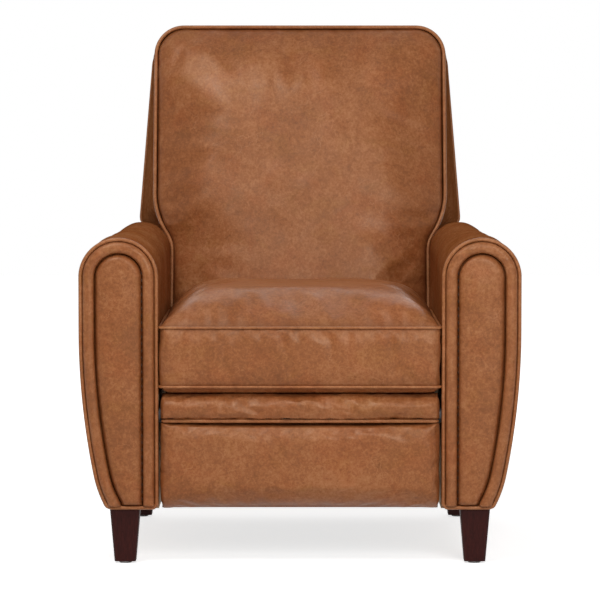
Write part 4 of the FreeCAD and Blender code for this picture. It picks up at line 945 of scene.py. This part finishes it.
for label, node, low, high, depth, bulge, under, over, seed in (
        ("footrest_panel", "footrest_pad", 0.1025, 0.2645, 0.034, 0.0060, 0.030, 0.005, 71),
        ("footrest_top_band", "footrest_band", 0.2675, 0.3155, 0.035, 0.0050, 0.005, 0.024, 81)):
    pad_points, pad_quads, pad_seam_and_shade = pad_panel(low, high, depth, bulge, under, over, seed)
    on_board = pad_points[:, 1] > FOOT_REAR - 0.0005
    pad_points = filled(label + "_filling", pad_points, pad_quads, on_board, (-FOOT_ROOM, -0.428, low),
                        (FOOT_ROOM, FOOT_REAR, high), press=3.0, slack=0.012, cap=0.006)
    pad = piece(label, (pad_points, pad_quads, pad_seam_and_shade), COGNAC, "footrest", levels=1)
    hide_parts(node)
line = np.linspace(-FOOT_CORD_HALF, FOOT_CORD_HALF, FOOT_CORD_STEPS)
tuck = 0.012 * up_to(np.abs(line) - 0.247, 0.009) ** 2
welt_path = np.column_stack([line, -0.4145 + tuck, np.full(FOOT_CORD_STEPS, 0.2660)])
foot_cord = piece("footrest_cord", cord_tube(welt_path, 0.0036, False), WELT_COGNAC, "footrest")
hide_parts("footrest_welt")

# Rear apron: a thin padded leather panel stapled to the rear rail, which closes the chair between the
# arms below the outside back.


def apron_panel():
    """Thin padded sheet: a grid across and up, raised rearwards by a round shoulder of the distance to
    its edge, flat on the rail in front."""
    half, low, high, front = 0.2600, 0.104, 0.345, 0.318
    gx, gz = np.meshgrid(np.linspace(-half, half, 110), np.linspace(low, high, 54))
    reach = edge_reach(gx, gz, half, low, high)
    spot = np.stack([gx, 0 * gx, gz], axis=-1)
    rise = 0.022 * shoulder(reach, 0.012) + up_to(reach, 0.03) * 0.0010 * waves(spot, 0.16, 91)
    outer = np.stack([gx, front + rise, gz], axis=-1)
    inner = np.stack([gx, np.full_like(gx, front), gz], axis=-1)
    return two_sheets(outer, inner, np.exp(-reach / 0.006))


apron = piece("rear_apron_panel", apron_panel(), SIDE_COGNAC, "base")
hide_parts("rear_apron")

# Studio: a pale floor and a surround that the camera sees as white, a key and a fill lamp in front, a
# large soft lamp above and behind, and the camera at the height and distance of the photograph.
PLAIN_WHITE = (1.0, 1.0, 1.0, 1.0)
floor_mesh = bpy.data.meshes.new("floor")
floor_mesh.from_pydata([(-9, -9, 0), (9, -9, 0), (9, 9, 0), (-9, 9, 0)], [], [(0, 1, 2, 3)])
floor = bpy.data.objects.new("floor", floor_mesh)
bpy.context.scene.collection.objects.link(floor)
PALE_FLOOR, floor_tree, floor_shader = finish_of("pale_floor")
floor_shader.inputs["Base Color"].default_value = (0.86, 0.86, 0.86, 1.0)
floor_shader.inputs["Roughness"].default_value = 0.9
floor_shader.inputs["Specular IOR Level"].default_value = 0.1


def background_rays(tree):
    """Mask of the rays that see the plain background: camera, glossy and transmission rays."""
    path = add(tree, "ShaderNodeLightPath")
    mask = path.outputs["Is Camera Ray"]
    for kind in ("Is Glossy Ray", "Is Transmission Ray"):
        either = add(tree, "ShaderNodeMath", {0: mask, 1: path.outputs[kind]}, operation="MAXIMUM")
        mask = either.outputs["Value"]
    return mask


far_out = add(floor_tree, "ShaderNodeVectorMath", {0: place(floor_tree)}, operation="LENGTH")
fade = spread(floor_tree, far_out.outputs["Value"], 0.7, 2.4, 0.72, 1.0)
glow = add(floor_tree, "ShaderNodeMath", {0: background_rays(floor_tree), 1: fade}, operation="MULTIPLY")
floor_shader.inputs["Emission Color"].default_value = PLAIN_WHITE
wire(floor_tree, glow.outputs["Value"], floor_shader.inputs["Emission Strength"])
floor_mesh.materials.append(PALE_FLOOR)

world = bpy.data.worlds.new("surround")
world.use_nodes = True
bpy.context.scene.world = world
air = world.node_tree
air.nodes.clear()
choose = add(air, "ShaderNodeMixShader", {"Fac": background_rays(air)})
SURROUND_LIGHT, SURROUND_SEEN = 0.15, 1.0
for entry, strength in ((1, SURROUND_LIGHT), (2, SURROUND_SEEN)):
    shade = add(air, "ShaderNodeBackground", {"Color": PLAIN_WHITE, "Strength": strength})
    wire(air, shade.outputs["Background"], choose.inputs[entry])
add(air, "ShaderNodeOutputWorld", {"Surface": choose.outputs["Shader"]})


def softbox(name, spot, aim, size, power):
    """Square area lamp at a place, turned to a point."""
    lamp = bpy.data.lights.new(name, "AREA")
    lamp.size = size
    lamp.energy = power
    thing = bpy.data.objects.new(name, lamp)
    thing.location = spot
    thing.rotation_euler = (Vector(aim) - Vector(spot)).to_track_quat("-Z", "Y").to_euler()
    bpy.context.scene.collection.objects.link(thing)


softbox("key_lamp", (-0.9, -1.95, 2.95), (0, 0, 0.7), 1.1, 44.0)
softbox("fill_lamp", (0.9, -3.1, 1.6), (0, 0, 0.55), 1.2, 39.0)
softbox("rear_lamp", (0.3, 2.9, 3.1), (0, 0, 0.5), 2.8, 26.0)

camera_data = bpy.data.cameras.new("camera")
camera_data.sensor_width = 36.0
camera_data.lens = 200.5
camera = bpy.data.objects.new("camera", camera_data)
camera.location = (0.0, -6.529, 0.878)
camera.rotation_euler = (math.radians(90.0 - 3.64), 0.0, 0.0)
bpy.context.scene.collection.objects.link(camera)
bpy.context.scene.camera = camera
bpy.context.scene.view_settings.view_transform = "Standard"
